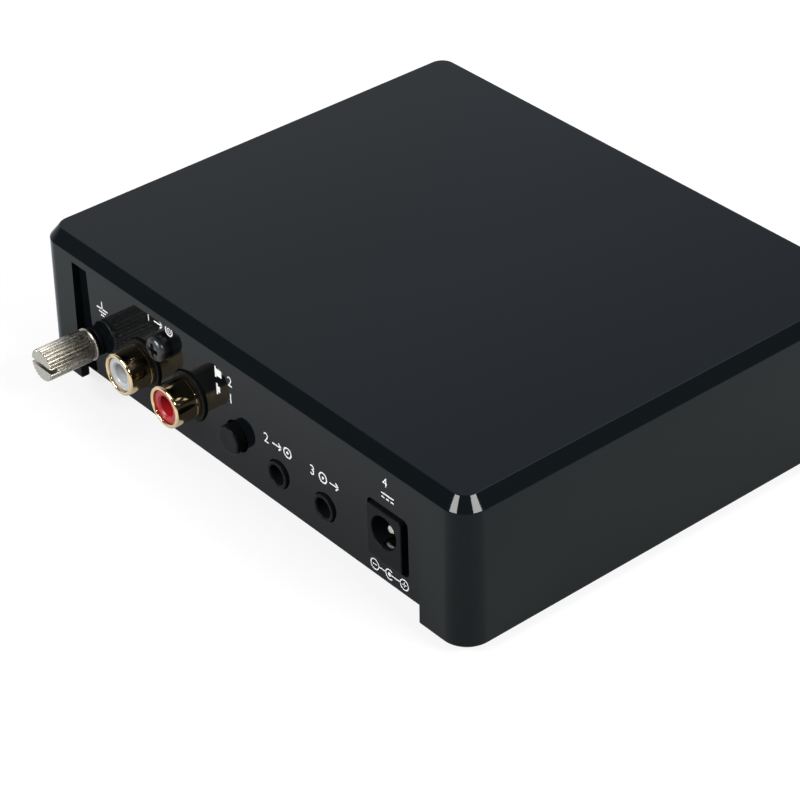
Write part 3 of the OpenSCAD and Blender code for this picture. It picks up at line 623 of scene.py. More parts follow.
dc_lo, dc_hi = span("dc_jack_housing")
dc_size = dc_hi - dc_lo
hole_side, hole_over = 0.9, 0.25
square = block((dc_size[0] + 2 * square_gap + hole_side,
                dc_size[2] + 2 * square_gap + hole_over, 2 * past), square_r, 0.01, 8)
carve(panel, to_rear(square, on_axis("dc_jack_housing", panel_face - past)
                     + [-hole_side / 2, 0, hole_over / 2]))
soften(panel, 0.12)
finish_piece(panel, panel_gloss, ["rear_panel"])


# %% [markdown]
# ## The ground terminal
#
# A knurled thumbscrew clamps the record player's earth wire. Its head is one surface: the
# radius follows the profile along the screw, less the depth of the V grooves that leave
# flat ridges between them. A bump could draw the grooves, but the outline of the head
# shows them, so they are cut in the mesh. The shank carries a real helical thread, a
# triangle wave of (height / pitch - turn), which closes on itself all the way round.

# %% Knurl and thread
thumb_lo, thumb_hi = span("ground_thumbscrew")
thumb_r, flutes, flute_depth, shank_r, shank_len, pitch = 3.25, 26, 0.3, 1.43, 6.5, 0.7
thumb_len = thumb_hi[1] - thumb_lo[1] - shank_len
land, edge, slot_w, slot_deep = 0.5, 0.3, 0.95, 1.5


def fluted(profile, low):
    """A lathe whose radius drops from the height low upwards by flute_depth times
    clip(1 - |sin(flutes t / 2)| / 0.8, 0, 1), which leaves flat ridges between V grooves."""
    count = flutes * 12
    grid = lathe(profile, count)
    turn = np.linspace(0, 2 * np.pi, count, endpoint=False)
    groove = flute_depth * np.clip(1 - np.abs(np.sin(flutes * turn / 2)) / 0.8, 0, 1)
    r, z = grid[:, 0, 0], grid[:, 0, 2]
    share = np.clip((z - low) / 0.15, 0, 1) * np.clip((r - thumb_r + 0.9) / 0.45, 0, 1)
    scale = 1 - groove * share[:, None] / np.maximum(r, 1e-6)[:, None]
    return grid * np.stack([scale, scale, 1 + 0 * scale], -1)


def thread(radius, depth, low, high, count=48):
    """A threaded rod: radius less depth times a triangle wave of height / pitch - turn."""
    z = np.arange(low, high, pitch / 8)
    turn = np.linspace(0, 2 * np.pi, count, endpoint=False)
    wave = np.abs(2 * ((z[:, None] / pitch - turn / (2 * np.pi)) % 1) - 1)
    fade = np.clip((z - low) / pitch, 0, 1)[:, None]
    r = radius - depth * np.maximum(wave, 1 - fade)
    return poled(np.stack([r * np.cos(turn), r * np.sin(turn), z[:, None] + 0 * turn], -1))


core = thumb_r - flute_depth
head = rounded([(0, 0), (core, 0), (core, land), (thumb_r, land + 0.25), (thumb_r, thumb_len),
                (0, thumb_len)], [0.15, 0.03, 0.12, edge], 4)
thumb = solid("thumbscrew", fluted(head, land + 0.1))
carve(thumb, cutter(2 * thumb_r + 2, slot_w, 4) + [0, 0, thumb_len - slot_deep])
shank = solid("shank", thread(shank_r, 0.2, -shank_len, 0.1))
thumb = moved(joined("ground_screw", thumb, shank), to_rear,
              on_axis("ground_thumbscrew", thumb_hi[1] - thumb_len))
soften(thumb, 0.08, 40)
finish_piece(thumb, nickel, ["ground_thumbscrew"], "ground_knob")


# %% [markdown]
# The washer moves with the screw and presses the wire against the bush, a black sleeve
# that keeps the terminal clear of the panel's edge. Both are plain rings, so each is a
# closed profile turned round the screw's axis.

# %% Washer and bush
bush_bore_r, flange_t, flange_r = 1.53, 0.8, 2.9
washer_lo, washer_hi = span("ground_washer")
washer_r, washer_t = (washer_hi[0] - washer_lo[0]) / 2, washer_hi[1] - washer_lo[1]
washer = rounded([(bush_bore_r, washer_t / 2), (bush_bore_r, 0), (washer_r, 0),
                  (washer_r, washer_t), (bush_bore_r, washer_t),
                  (bush_bore_r, washer_t / 2)], 0.22, 4)
washer = to_rear(lathe(washer, 96), on_axis("ground_thumbscrew", washer_lo[1]))
make("washer", [skin(washer, along=True)], nickel, ["ground_washer"],
     "ground_clamp")

bush_lo, bush_hi = span("ground_bush")
bush_len = bush_hi[1] - bush_lo[1]
bush = rounded([(bush_bore_r, bush_len / 2), (bush_bore_r, 0), (bush_d / 2, 0),
                (bush_d / 2, bush_len - flange_t), (flange_r, bush_len - flange_t),
                (flange_r, bush_len), (bush_bore_r, bush_len), (bush_bore_r, bush_len / 2)],
               [0.1, 0.1, 0.02, 0.1, 0.15, 0.1], 4)
bush = to_rear(lathe(bush), on_axis("ground_thumbscrew", bush_lo[1]))
make("bush", [skin(bush, along=True)], housing_satin, ["ground_bush"])


# %% [markdown]
# ## The phono sockets
#
# Each socket is a gold-plated tube round a coloured insulator with a sprung contact in its
# middle. All three are turned or moulded round one axis, so each is a lathe of its own
# section. The tube has a fine groove behind its mouth, and a rim rounded to guide the plug.

# %% Phono shells and insulators
shell_r, shell_bore_r, root_r, contact_r, pin_r = 4.15, 3.35, 3.95, 2.1, 1.7
ring_proud, mouth_back, mouth_deep, land_deep, fit = 0.45, 0.5, 1.6, 1.2, 0.05
groove_at, groove_deep = 0.85, 0.02
for hand, plastic, slot in (("left", white_plastic_painted_shade, "white_insulator"),
                            ("right", red_plastic, "red_insulator")):
    shell_lo, shell_hi = span("rca_shell_" + hand)
    foot = on_axis("rca_shell_" + hand, shell_lo[1])
    length = shell_hi[1] - shell_lo[1]
    shoulder = panel_face + ring_proud - shell_lo[1]
    groove = shoulder + groove_at
    profile = rounded([(shell_bore_r, length / 2), (shell_bore_r, 0), (root_r, 0),
                       (root_r, shoulder), (shell_r, shoulder), (shell_r, groove),
                       (shell_r - groove_deep, groove + 0.06),
                       (shell_r - groove_deep, groove + 0.1), (shell_r, groove + 0.16),
                       (shell_r, length), (shell_bore_r, length),
                       (shell_bore_r, length / 2)],
                      [0.05, 0.05, 0.02, 0.1, 0.02, 0.02, 0.02, 0.02, 0.42, 0.3], 7)
    make("phono_shell_" + hand, [skin(to_rear(lathe(profile, 96), foot), along=True)], gold,
         ["rca_shell_" + hand])

    mouth = length - mouth_back
    back = mouth - mouth_deep - land_deep
    bore_r, outer_r = contact_r + fit, shell_bore_r - fit
    dish = rounded([(bore_r, 3), (bore_r, 0), (outer_r, 0), (outer_r, mouth), (2.3, mouth),
                    (1.98, mouth - 0.3), (pin_r, mouth - mouth_deep), (pin_r, back),
                    (bore_r, back), (bore_r, 3)],
                   [0.05, 0.05, 0.1, 0.08, 0.06, 0.06, 0.05, 0.05], 5)
    make("phono_insulator_" + hand, [skin(to_rear(lathe(dish, 96), foot), along=True)],
         plastic, ["rca_insulator_" + hand])


# %% [markdown]
# The black housing behind them is one moulding: a block with an ear for the panel screw
# and two rings that stand in the panel's holes. It is joined from those shapes, and then
# bored for the shells, the contacts and the screw.

# %% Phono housing
house_lo, house_hi = span("rca_housing")
left_at, right_at = middle("rca_shell_left"), middle("rca_shell_right")
screw_at = middle("rca_screw")
block_top, ear_w, ear_d, ring_r, ring_back = left_at[2] + 5.6, 9.0, 7.0, ring_d / 2, 3
block_size = (house_hi[0] - house_lo[0], panel_back - house_lo[1], block_top - house_lo[2])
house = solid("phono_housing", block(block_size, 0.6, 0.05, 4)
              + [(house_lo[0] + house_hi[0]) / 2, panel_back - block_size[1] / 2, house_lo[2]])
carve(house, block((ear_w, ear_d, house_hi[2] - block_top + 1), 0.4, 0.05, 4)
      + [screw_at[0], panel_back - ear_d / 2, block_top - 1], operation="UNION")
ring = rounded([(0, 0), (ring_r, 0), (ring_r, ring_back + ring_proud),
                (0, ring_back + ring_proud)], [0.02, 0.15], 4)
for at in (left_at, right_at):
    carve(house, to_rear(lathe(ring, 96), [at[0], panel_face - ring_back, at[2]]),
          operation="UNION")
for at in (left_at, right_at):
    carve(house, to_rear(rod(root_r + fit, 0, 20), [at[0], house_lo[1] + 2.2, at[2]]),
          to_rear(rod(contact_r + fit, -2, 4, 48), [at[0], house_lo[1], at[2]]))
carve(house, to_rear(rod(screw_d / 2 + fit, -10, 2, 48),
                     [screw_at[0], panel_back, screw_at[2]]))
soften(house, 0.12, 50)
finish_piece(house, housing_satin, ["rca_housing"])


# %% [markdown]
# ## Screws
#
# A pan-head screw is a lathe with a domed head, and its cross recess is two tapered bars
# cut out of it, whose walls slope towards the middle as a driver's tip does. The screws of
# the panel, the cover and the board differ only in size, so one function makes them all.

# %% Cross-recess screws
def pan_screw(name, shank_r, length, head_r, head_h, cross_w):
    """Head upwards from z = 0, shank downwards. The head's edge is a long arc."""
    outline = rounded([(0, -length), (shank_r - 0.25, -length), (shank_r, -length + 0.4),
                       (shank_r, 0), (head_r, 0), (head_r, head_h), (0, head_h)],
                      [0.05, 0.1, 0.05, 0.15, min(0.8 * head_h, 1.1)], 7)
    piece = solid(name, lathe(outline, 72))
    reach, deep = 0.62 * head_r, 0.75 * head_h
    z = np.array([head_h - deep, head_h + 0.5])
    long, wide = np.array([0.35, 1.12]) * reach, np.array([0.5, 1.08]) * cross_w / 2
    for bar in ((wide, long), (long, wide)):
        carve(piece, poled(loft(*bar, 0.05, z, 3)))
    return piece


screw_lo, screw_hi = span("rca_screw")
rca_screw = pan_screw("panel_screw", 1.4, 8.0, (screw_hi[0] - screw_lo[0]) / 2,
                      screw_hi[1] - panel_face, 0.9)
moved(rca_screw, to_rear, on_axis("rca_screw", panel_face))
soften(rca_screw, 0.06, 40)
finish_piece(rca_screw, black_steel, ["rca_screw"])


# %% [markdown]
# ## Button, jacks and power socket
#
# The button is a round gloss cap whose rim is rounded and whose face sinks a little, so
# that a finger finds its middle. One profile gives all of that.

# %% Selector button
cap_lo, cap_hi = span("selector_cap")
cap_len, cap_r = cap_hi[1] - cap_lo[1], cap_d / 2
cap = rounded([(0, 0), (cap_r, 0), (cap_r, cap_len), (0.6 * cap_r, cap_len),
               (0, cap_len - 0.04)], [0.15, 0.35, 0.3], 6)
make("selector_button", [skin(to_rear(lathe(cap, 96), on_axis("selector_cap", cap_lo[1])))],
     key_gloss, ["selector_cap"], "selector")


# %% [markdown]
# A mini jack is a low block on the board with a round nose that stands in the panel. Its
# bore has a small lead-in for the plug, and a pocket on each side holds a spring leaf.

# %% Mini jacks
nose_r, jack_h, jack_bore_r, jack_bore_len, lead_in = nose_d / 2, 5.0, 1.8, 13.4, 0.3
for name in ("line_in", "line_out"):
    jack_lo, jack_hi = span(name + "_jack")
    bore_at = middle(name + "_contacts")
    depth = panel_back - jack_lo[1]
    jack = solid(name + "_socket", block((jack_hi[0] - jack_lo[0], depth, jack_h), 0.3, 0.05, 3)
                 + [bore_at[0], panel_back - depth / 2, jack_lo[2]])
    nose_len = jack_hi[1] - panel_back + 1
    nose = rounded([(0, 0), (nose_r, 0), (nose_r, nose_len), (0, nose_len)], [0.05, 0.2], 5)
    carve(jack, to_rear(lathe(nose, 72), [bore_at[0], panel_back - 1, bore_at[2]]),
          operation="UNION")
    bore = [(0, -jack_bore_len), (jack_bore_r, -jack_bore_len), (jack_bore_r, -0.35),
            (jack_bore_r + lead_in, 0.02), (jack_bore_r + lead_in, 1), (0, 1)]
    carve(jack, to_rear(lathe(bore, 72), [bore_at[0], jack_hi[1], bore_at[2]]))
    leaf_lo, leaf_hi = span(name + "_contacts")
    for side in (-1, 1):
        pocket = cutter(0.8, leaf_hi[1] - leaf_lo[1] + 0.2, 1.1)
        carve(jack, pocket + [bore_at[0] + side * (leaf_hi[0] - bore_at[0] - 0.3),
                              (leaf_lo[1] + leaf_hi[1]) / 2, bore_at[2] - 0.55])
    soften(jack, 0.1, 50)
    finish_piece(jack, housing_satin, [name + "_jack"])


# %% [markdown]
# The power socket is a tall block with a deep bore, a slot in the bore's floor for its
# spring, and a pin down its middle. The pin ends in a rounded tip, and its tag goes down
# to the board.

# %% Power socket
pin_at, bore_z = middle("dc_jack_pin"), 15.0
dc_bore_r, dc_bore_len = 3.15, 9.6
socket = solid("power_socket", to_rear(
    block((dc_size[0], dc_size[2], dc_size[1]), 0.9, 0.25, 7),
    [pin_at[0], dc_lo[1], (dc_lo[2] + dc_hi[2]) / 2]))
bore = [(0, -dc_bore_len), (dc_bore_r, -dc_bore_len), (dc_bore_r, -0.25),
        (dc_bore_r + 0.2, 0.01), (dc_bore_r + 0.2, 1), (0, 1)]
carve(socket, to_rear(lathe(bore, 96), [pin_at[0], dc_hi[1], bore_z]),
      to_rear(rod(0.85, -20, 1, 32), [pin_at[0], dc_hi[1] - dc_bore_len, bore_z]),
      cutter(2.6, dc_bore_len - 1.2, 1.6)
      + [pin_at[0], dc_hi[1] - dc_bore_len / 2 - 0.2, bore_z - dc_bore_r - 0.9])
soften(socket, 0.08, 50)
finish_piece(socket, housing_satin, ["dc_jack_housing"])

pin_lo, pin_hi = span("dc_jack_pin")
pin_len, tag_t = pin_hi[1] - pin_lo[1], 0.4
shoulder = dc_hi[1] - dc_bore_len - pin_lo[1]
pin = rounded([(0, 0), (0.8, 0), (0.8, shoulder), (1.0, shoulder), (1.0, pin_len - 0.45),
               (0.72, pin_len), (0, pin_len)], [0.05, 0.02, 0.05, 0.3, 0.25], 6)
make("power_pin", [skin(to_rear(lathe(pin, 48), [pin_at[0], pin_lo[1], bore_z])),
                   skin(block((2.4, tag_t, bore_z + 1.2 - pin_lo[2]), 0.1, 0.05, 3)
                        + [pin_at[0], pin_lo[1] + tag_t / 2, pin_lo[2]])],
     tinned, ["dc_jack_pin"])


# %% [markdown]
# ## The printing on the panel
#
# White ink is pad-printed on the gloss panel, so it is a layer of its own that stands two
# hundredths of a millimetre proud. A texture could draw it, but an edge in the mesh stays
# sharp from any distance. The marks are plain numbers and common symbols: earth, a record,
# arrows in and out, button up and down, direct current and polarity. `on_panel` puts a
# mark's X to the reader's right and its Y upwards, from the middle that it is given.

# %% Strokes, arcs and numbers
ink_up, ink_line = 0.02, 0.3


def on_panel(grid, x, z):
    """(x, y, z) of a mark, drawn about the origin, becomes (X - x, face + z, Z + y)."""
    return np.stack([x - grid[..., 0], panel_face + grid[..., 2], z + rim_z + grid[..., 1]], -1)


def stroke(start, end, width=ink_line, square=False):
    """A straight printed line: a flat block along +X, turned to its direction."""
    start, end = np.asarray(start, float), np.asarray(end, float)
    run = end - start
    length = np.hypot(*run)
    c, s = run / length
    size = (length + (0 if square else width), width, 2 * ink_up)
    flat = block(size, 0.03 if square else width / 2, 0.004, 2 if square else 5)
    x, y = flat[..., 0], flat[..., 1]
    centre = (start + end) / 2
    return np.stack([centre[0] + c * x - s * y, centre[1] + s * x + c * y,
                     flat[..., 2] - ink_up], -1)


def arc(radius, first=0, last=360, width=ink_line, count=48, at=(0, 0)):
    """A printed arc: four rows of points, at radius -+ width / 2 and below and above."""
    full = last - first >= 360
    t = np.radians(np.linspace(first, last, count, endpoint=not full))
    rows = [(radius + sx * width / 2, sz * ink_up) for sx, sz in
            ((-1, -1), (1, -1), (1, 1), (-1, 1))]
    grid = np.stack([np.stack([at[0] + r * np.cos(t), at[1] + r * np.sin(t), z + 0 * t], -1)
                     for r, z in rows])
    return skin(grid if full else ended(grid), around=full, along=True)


def dot(radius, at=(0, 0)):
    return skin(rod(radius, -ink_up, ink_up, 32) + [*at, 0])


def line(*points, width=ink_line, square=False):
    """Printed lines from point to point."""
    return [skin(stroke(a, b, width, square)) for a, b in zip(points[:-1], points[1:])]


def number(text, height=2.1, at=(0, 0)):
    """A printed number, from a text curve made a mesh, its capital height as given."""
    curve = bpy.data.curves.new("number", "FONT")
    curve.body, curve.align_x, curve.align_y = text, "CENTER", "CENTER"
    curve.size, curve.extrude = height / 0.72, ink_up
    holder = new_object("number", curve)
    view = bpy.context.evaluated_depsgraph_get()
    mesh = bpy.data.meshes.new_from_object(holder.evaluated_get(view))
    bpy.data.objects.remove(holder)
    points = np.empty(3 * len(mesh.vertices))
    mesh.vertices.foreach_get("co", points)
    faces = [list(face.vertices) for face in mesh.polygons]
    bpy.data.meshes.remove(mesh)
    return points.reshape(-1, 3) + [*at, 0], faces


def printed(name, x, z, parts):
    """Puts a mark's parts on the panel as one piece."""
    points, faces, count = [], [], 0
    for grid, quads in parts:
        points.append(on_panel(grid, x, z) * MM)
        faces += [[int(i) + count for i in face] for face in quads]
        count += len(grid)
    mesh = bpy.data.meshes.new(name)
    mesh.from_pydata(np.concatenate(points).tolist(), [], faces)
    finish_piece(new_object(name, cleaned(mesh)), ink)


# %% [markdown]
# Each mark is a list of such parts about its own middle, and it becomes one piece, because
# one stamp prints it in one touch. The arrow, the socket sign and the level lines come up
# again and again, so each has a function of its own.

# %% Printed marks
def arrow(x):
    """A straight arrow of 2.4 mm that points right, with its middle at x."""
    tip = x + 1.2
    return line((x - 1.2, 0), (tip, 0)) + line((tip - 0.75, 0.7), (tip, 0), (tip - 0.75, -0.7))


def socket_sign(x):
    """A round socket seen from its front."""
    return [arc(1.0, at=(x, 0)), dot(0.32, at=(x, 0))]


def dashes(*ends, y=0, width=ink_line, square=False):
    """Level printed lines, each from one x to another."""
    return [part for a, b in ends for part in line((a, y), (b, y), width=width, square=square)]


printed("print_earth", 43.2, 17.9, line((0, 1.5), (0, 0)) + dashes((-1.6, 1.6))
        + dashes((-1.0, 1.0), y=-0.7) + dashes((-0.42, 0.42), y=-1.4))
printed("print_phono", 24.0, 23.55, [number("1", 1.9, (-3.9, 0))] + arrow(-0.9)
        + [arc(1.0, at=(2.3, 0)), arc(0.5, at=(2.3, 0), width=0.18), dot(0.16, (2.3, 0))])
printed("print_button_out", 7.0, 21.7, line((-1.0, -1.2), (-1.0, 1.2), width=0.4, square=True)
        + dashes((-0.8, 0.7), width=1.5, square=True))
printed("print_button_in", 7.3, 18.1, line((-0.55, -1.2), (-0.55, 1.2), width=0.4, square=True)
        + dashes((-0.4, 0.3), width=1.3, square=True))
printed("print_choice_line", 3.9, 21.4, [number("2")])
printed("print_choice_phono", 3.9, 17.8, [number("1")])
printed("print_line_in", -9.0, 14.6, [number("2", at=(-3.0, 0))] + arrow(0.1) + socket_sign(3.0))
printed("print_line_out", -21.9, 14.6, [number("3", at=(-3.0, 0))] + socket_sign(-0.1)
        + arrow(3.0))
printed("print_power", -38.9, 22.8, [number("4", 1.9, (-0.2, 0))])
printed("print_direct_current", -39.3, 20.0, dashes((-1.6, 1.6), y=0.4, square=True)
        + dashes((-1.6, -0.8), (-0.4, 0.4), (0.8, 1.6), y=-0.4, square=True))
printed("print_polarity", -39.15, 3.75,
        [arc(1.05, at=(-3.9, 0), width=0.24), arc(1.05, at=(3.9, 0), width=0.24),
         arc(1.0, 45, 315, 0.24, 32), dot(0.42)]
        + dashes((-2.85, -1.0), (0.3, 2.85), width=0.24)
        + dashes((-4.35, -3.45), (3.45, 4.35), width=0.2)
        + line((3.9, -0.45), (3.9, 0.45), width=0.2))


# %% [markdown]
# ## The front: pairing key and lamp
#
# The key is a round cap with a flange behind the cover's wall that keeps it in, and its
# face is slightly dished for a fingertip. Like the button, it is one lathe.

# %% Pairing key
key_lo, key_hi = span("front_key")
key_len, flange_r, flange_t = key_hi[1] - key_lo[1], 4.2, 1.0
key = rounded([(0, 0), (flange_r, 0), (flange_r, flange_t), (key_r, flange_t),
               (key_r, key_len), (2.35, key_len), (1.2, key_len - 0.16), (0, key_len - 0.2)],
              [0.1, 0.1, 0.05, 0.3, 0.5, 0.8], 6)
make("pairing_key", [skin(to_front(lathe(key, 96), [key_at[0], key_hi[1], key_z]))],
     key_gloss, ["front_key"], "front_key")


# %% [markdown]
# The lamp is the polished end of a clear rod that bends down to a light-emitting diode on
# the board. Its path is straight, then a quarter circle, and `sweep` carries a circle
# along it. A curve object could do this too, but it has no closed, rounded ends.

# %% Light guide
def sweep(path, radius, count=32):
    """A rod round a path that stays in one X plane. side is X, and lift is the unit
    vector across the path: side cos t + lift sin t, times the radius, at each point."""
    ahead = np.gradient(path, axis=0)
    ahead /= np.linalg.norm(ahead, axis=1, keepdims=True)
    lift = np.cross(ahead, [1, 0, 0])[:, None]
    turn = np.linspace(0, 2 * np.pi, count, endpoint=False)[None, :, None]
    ring = path[:, None] + radius[:, None, None] * (np.cos(turn) * np.array([1, 0, 0])
                                                    + np.sin(turn) * lift)
    return np.vstack([path[:1, None] + 0 * ring[:1], ring, path[-1:, None] + 0 * ring[-1:]])


guide_lo, guide_hi = span("light_guide")
bend, bend_y = 1.6, guide_hi[1] - lamp_r
t = np.radians(np.linspace(0, 90, 10))
curve_y = np.concatenate([[guide_lo[1], guide_lo[1] + 0.06, guide_lo[1] + 0.16],
                          bend_y - bend + bend * np.sin(t), [bend_y]])
curve_z = np.concatenate([[key_z] * 3, key_z - bend + bend * np.cos(t), [guide_lo[2]]])
widths = np.concatenate([[lamp_r - 0.2, lamp_r - 0.06], np.full(len(curve_y) - 2, lamp_r)])
guide = solid("lamp_guide", sweep(
    np.column_stack([0 * curve_y + lamp_at[0], curve_y, curve_z]), widths))
soften(guide, 0.05, 60)
finish_piece(guide, clear_plastic, ["light_guide"])


# %% [markdown]
# ## The underside
#
# The base plate sits just inside the cover's rim. Four screws in sunk pockets hold it to
# the cover's posts, and it carries the board on four standoffs. It is a block that the
# standoffs are joined to and the pockets are cut from. The feet are turned rubber pads, a
# little wider at the top where they meet the plate.

# %% Base plate and feet
base_lo, base_hi = span("base_plate")
board_lo, board_hi = span("circuit_board")
base_t, base_r, pocket_r, pocket_deep = 2.0, 2.45, 2.7, 1.0
hole_in, stand_r, pilot_r, clear_r = 4.2, 3.0, 1.25, 1.4
base = solid("base", block((base_hi[0] - base_lo[0], base_hi[1] - base_lo[1], base_t),
                           base_r, 0.3, 6)
             + [(base_lo[0] + base_hi[0]) / 2, (base_lo[1] + base_hi[1]) / 2, base_lo[2]])
screw_places = [(board_hi[0] - hole_in, board_lo[1] + 5.5),
                (board_lo[0] + hole_in, board_lo[1] + 5.5),
                (board_hi[0] - hole_in, board_hi[1] - 20),
                (board_lo[0] + hole_in, board_hi[1] - 24)]
for x, y in screw_places:
    carve(base, rod(stand_r, base_lo[2] + base_t - bite, base_hi[2], 48) + [x, y, 0],
          operation="UNION")
    carve(base, rod(pilot_r, base_lo[2] + 0.5, base_hi[2] + 1, 32) + [x, y, 0])
for post in posts:
    carve(base, rod(pocket_r, base_lo[2] - 1, base_lo[2] + pocket_deep, 48) + post * [1, 1, 0],
          rod(clear_r, base_lo[2], base_lo[2] + 4, 32) + post * [1, 1, 0])
soften(base, 0.15, 50)
finish_piece(base, base_satin, ["base_plate"])

feet_lo, feet_hi = span("rubber_feet")
foot_r = 5.0
foot_x, foot_y = feet_hi[0] - foot_r, (feet_hi[1] - feet_lo[1]) / 2 - foot_r
pad = rounded([(0, feet_lo[2] + 0.15), (foot_r - 1.2, feet_lo[2] + 0.15),
               (foot_r - 1.0, feet_lo[2]), (foot_r - 0.15, feet_lo[2]), (foot_r, feet_hi[2]),
               (0, feet_hi[2])], [0.1, 0.08, 0.5, 0.1], 6)
make("feet", [skin(lathe(pad) + [sx * foot_x, (feet_lo[1] + feet_hi[1]) / 2 + sy * foot_y, 0])
              for sx in (-1, 1) for sy in (-1, 1)], foot_rubber, ["rubber_feet"])


# %% [markdown]
# The cover's screws point up out of the base plate's pockets, with their heads down, and
# the board's point down into the standoffs. Both are the pan-head screw made before, moved
# to each place and joined, since the CAD has each set as one node.

# %% Cover and board screws
def downwards(grid, place):
    """Turns a grid upside down about X, so that a screw's head points down."""
    return grid * [1, -1, -1] + place


case_screws = [moved(pan_screw("screw", 1.2, 7.5, 2.5, 1.3, 0.9), downwards,
                     post * [1, 1, 0] + [0, 0, base_lo[2] + pocket_deep]) for post in posts]
case_screws = joined("case_screws", *case_screws)
soften(case_screws, 0.05, 40)
finish_piece(case_screws, black_steel, ["cover_screws"])

board_screws = [moved(pan_screw("screw", 1.2, 5.0, 2.3, 1.5, 0.8), np.add,
                      np.array([x, y, board_hi[2]])) for x, y in screw_places]
board_screws = joined("standoff_screws", *board_screws)
soften(board_screws, 0.05, 40)
finish_piece(board_screws, zinc, ["board_screws"])


# %% [markdown]
# ## Springs, nut and contacts
#
# Behind the panel sit the parts that carry current. A spring is a strip of tinned bronze
# that was cut flat and then bent, so `strip` gives a path a width and a thickness. The
# power socket's spring bows up through the floor of the bore and presses on the plug, and
# each mini jack has two leaves that bow into its bore. The bows are smooth bell curves.

# %% Strips and springs
def strip(path, width, thick):
    """A bent strip along a path of (x, z) points, width along Y. The path's own normal,
    (-dz, dx) made a unit long, carries half the thickness to each side."""
    path = np.asarray(path, float)
    ahead = np.gradient(path, axis=0)
    ahead /= np.linalg.norm(ahead, axis=1, keepdims=True)
    half = np.column_stack([-ahead[:, 1], ahead[:, 0]]) * thick / 2
    return ended(np.stack([np.column_stack([(path + s * half)[:, 0],
                                            np.full(len(path), t * width / 2),
                                            (path + s * half)[:, 1]])
                           for s, t in ((-1, -1), (-1, 1), (1, 1), (1, -1))]), tip=False)


def strip_skin(grid):
    return skin(grid, around=False, along=True)


def along_y(grid, place):
    """Turns a strip's X to +Y and its Y to -X."""
    return np.stack([-grid[..., 1], grid[..., 0], grid[..., 2]], -1) + place


def flat_z(grid, place):
    """Lays a strip on its side: its path (x, z) becomes (y, x), and its width runs along Z."""
    return np.stack([grid[..., 2], grid[..., 0], grid[..., 1]], -1) + place


def bell(share, at, width):
    """A bell curve: exp(-((share - at) / width) squared)."""
    return np.exp(-((share - at) / width) ** 2)


spring_lo, spring_hi = span("dc_jack_spring")
reach = spring_hi[1] - spring_lo[1]
s = np.linspace(0, 1, 28)
bow = 0.16 + 0.5 * bell(s, 0.86, 0.13) - 0.28 * np.clip((s - 0.93) / 0.07, 0, 1)
spring = strip(np.column_stack([s * reach, bow]), spring_hi[0] - spring_lo[0] - 0.1, 0.22)
make("power_spring", [strip_skin(along_y(spring, [pin_at[0], spring_lo[1], spring_lo[2]]))],
     tinned, ["dc_jack_spring"])

for name in ("line_in", "line_out"):
    leaf_lo, leaf_hi = span(name + "_contacts")
    leaf_len, leaf_w = leaf_hi[1] - leaf_lo[1], leaf_hi[2] - leaf_lo[2]
    parts = []
    for side, edge_x in ((-1, leaf_lo[0]), (1, leaf_hi[0])):
        bow = side * (-0.16 - 0.2 * bell(s, 0.55, 0.12))
        leaf = strip(np.column_stack([s * leaf_len, bow]), leaf_w, 0.26)
        parts.append(strip_skin(flat_z(leaf, [edge_x, leaf_lo[1],
                                              (leaf_lo[2] + leaf_hi[2]) / 2])))
    make(name + "_leaves", parts, tinned, [name + "_contacts"])


# %% [markdown]
# A phono socket's centre contact is a turned sleeve, closed at its back and slotted both
# ways from its mouth, so that its four fingers spring open round the plug's pin. The
# terminal's nut is a hexagon whose corners a cone takes off at both ends.

# %% Phono contacts and hex nut
for hand in ("left", "right"):
    lo, hi = span("rca_contact_" + hand)
    at = on_axis("rca_contact_" + hand, lo[1])
    length = hi[1] - lo[1]
    sleeve = rounded([(1.6, 3), (1.6, 0.6), (0, 0.6), (0, 0), (contact_r, 0),
                      (contact_r, length), (1.75, length), (1.6, length - 0.3), (1.6, 3)],
                     [0.02, 0.02, 0.02, 0.1, 0.08, 0.05, 0.05], 4)
    sleeve = solid("phono_contact_" + hand, to_rear(lathe(sleeve, 48), at))
    for wide, tall in ((0.45, 5), (5, 0.45)):
        carve(sleeve, cutter(wide, length, tall) + at + [0, length, -tall / 2])
    soften(sleeve)
    finish_piece(sleeve, gold, ["rca_contact_" + hand])


def hexagon(flats, height, bore, chamfer=0.35, count=120):
    """A nut: its outside is the smaller of the hexagon's radius, flats / 2 / cos(t mod 60
    - 30), and a cone that takes the corners off at both ends."""
    t = np.linspace(0, 2 * np.pi, count, endpoint=False)
    hexa = flats / 2 / np.cos((t % (np.pi / 3)) - np.pi / 6)
    rows = [(bore, chamfer / 2), (bore + 0.15, 0)]
    rows += [(flats / 2 * 0.98, 0), (flats / 2 / np.cos(np.pi / 6), chamfer)]
    rows += [(r, height - z) for r, z in rows[::-1]]
    r, z = np.array(rows).T[:, :, None]
    r = np.minimum(r, np.where(r > bore + 0.2, hexa, r))
    return np.stack([r * np.cos(t), r * np.sin(t), z + 0 * t], -1)


nut_lo, nut_hi = span("ground_nut")
nut = hexagon(min(nut_hi[0] - nut_lo[0], nut_hi[2] - nut_lo[2]), nut_hi[1] - nut_lo[1],
              bush_d / 2 + fit)
make("terminal_nut", [skin(to_rear(nut, on_axis("ground_nut", nut_lo[1])), along=True)], zinc,
     ["ground_nut"])


# %% [markdown]
# ## The two switches
#
# The selector is a push-push switch, a moulded box with a pale acetal stem that carries
# the button. The box is a soft-edged block with the stem's hole cut, and a groove along
# each side, as a mould would give it.

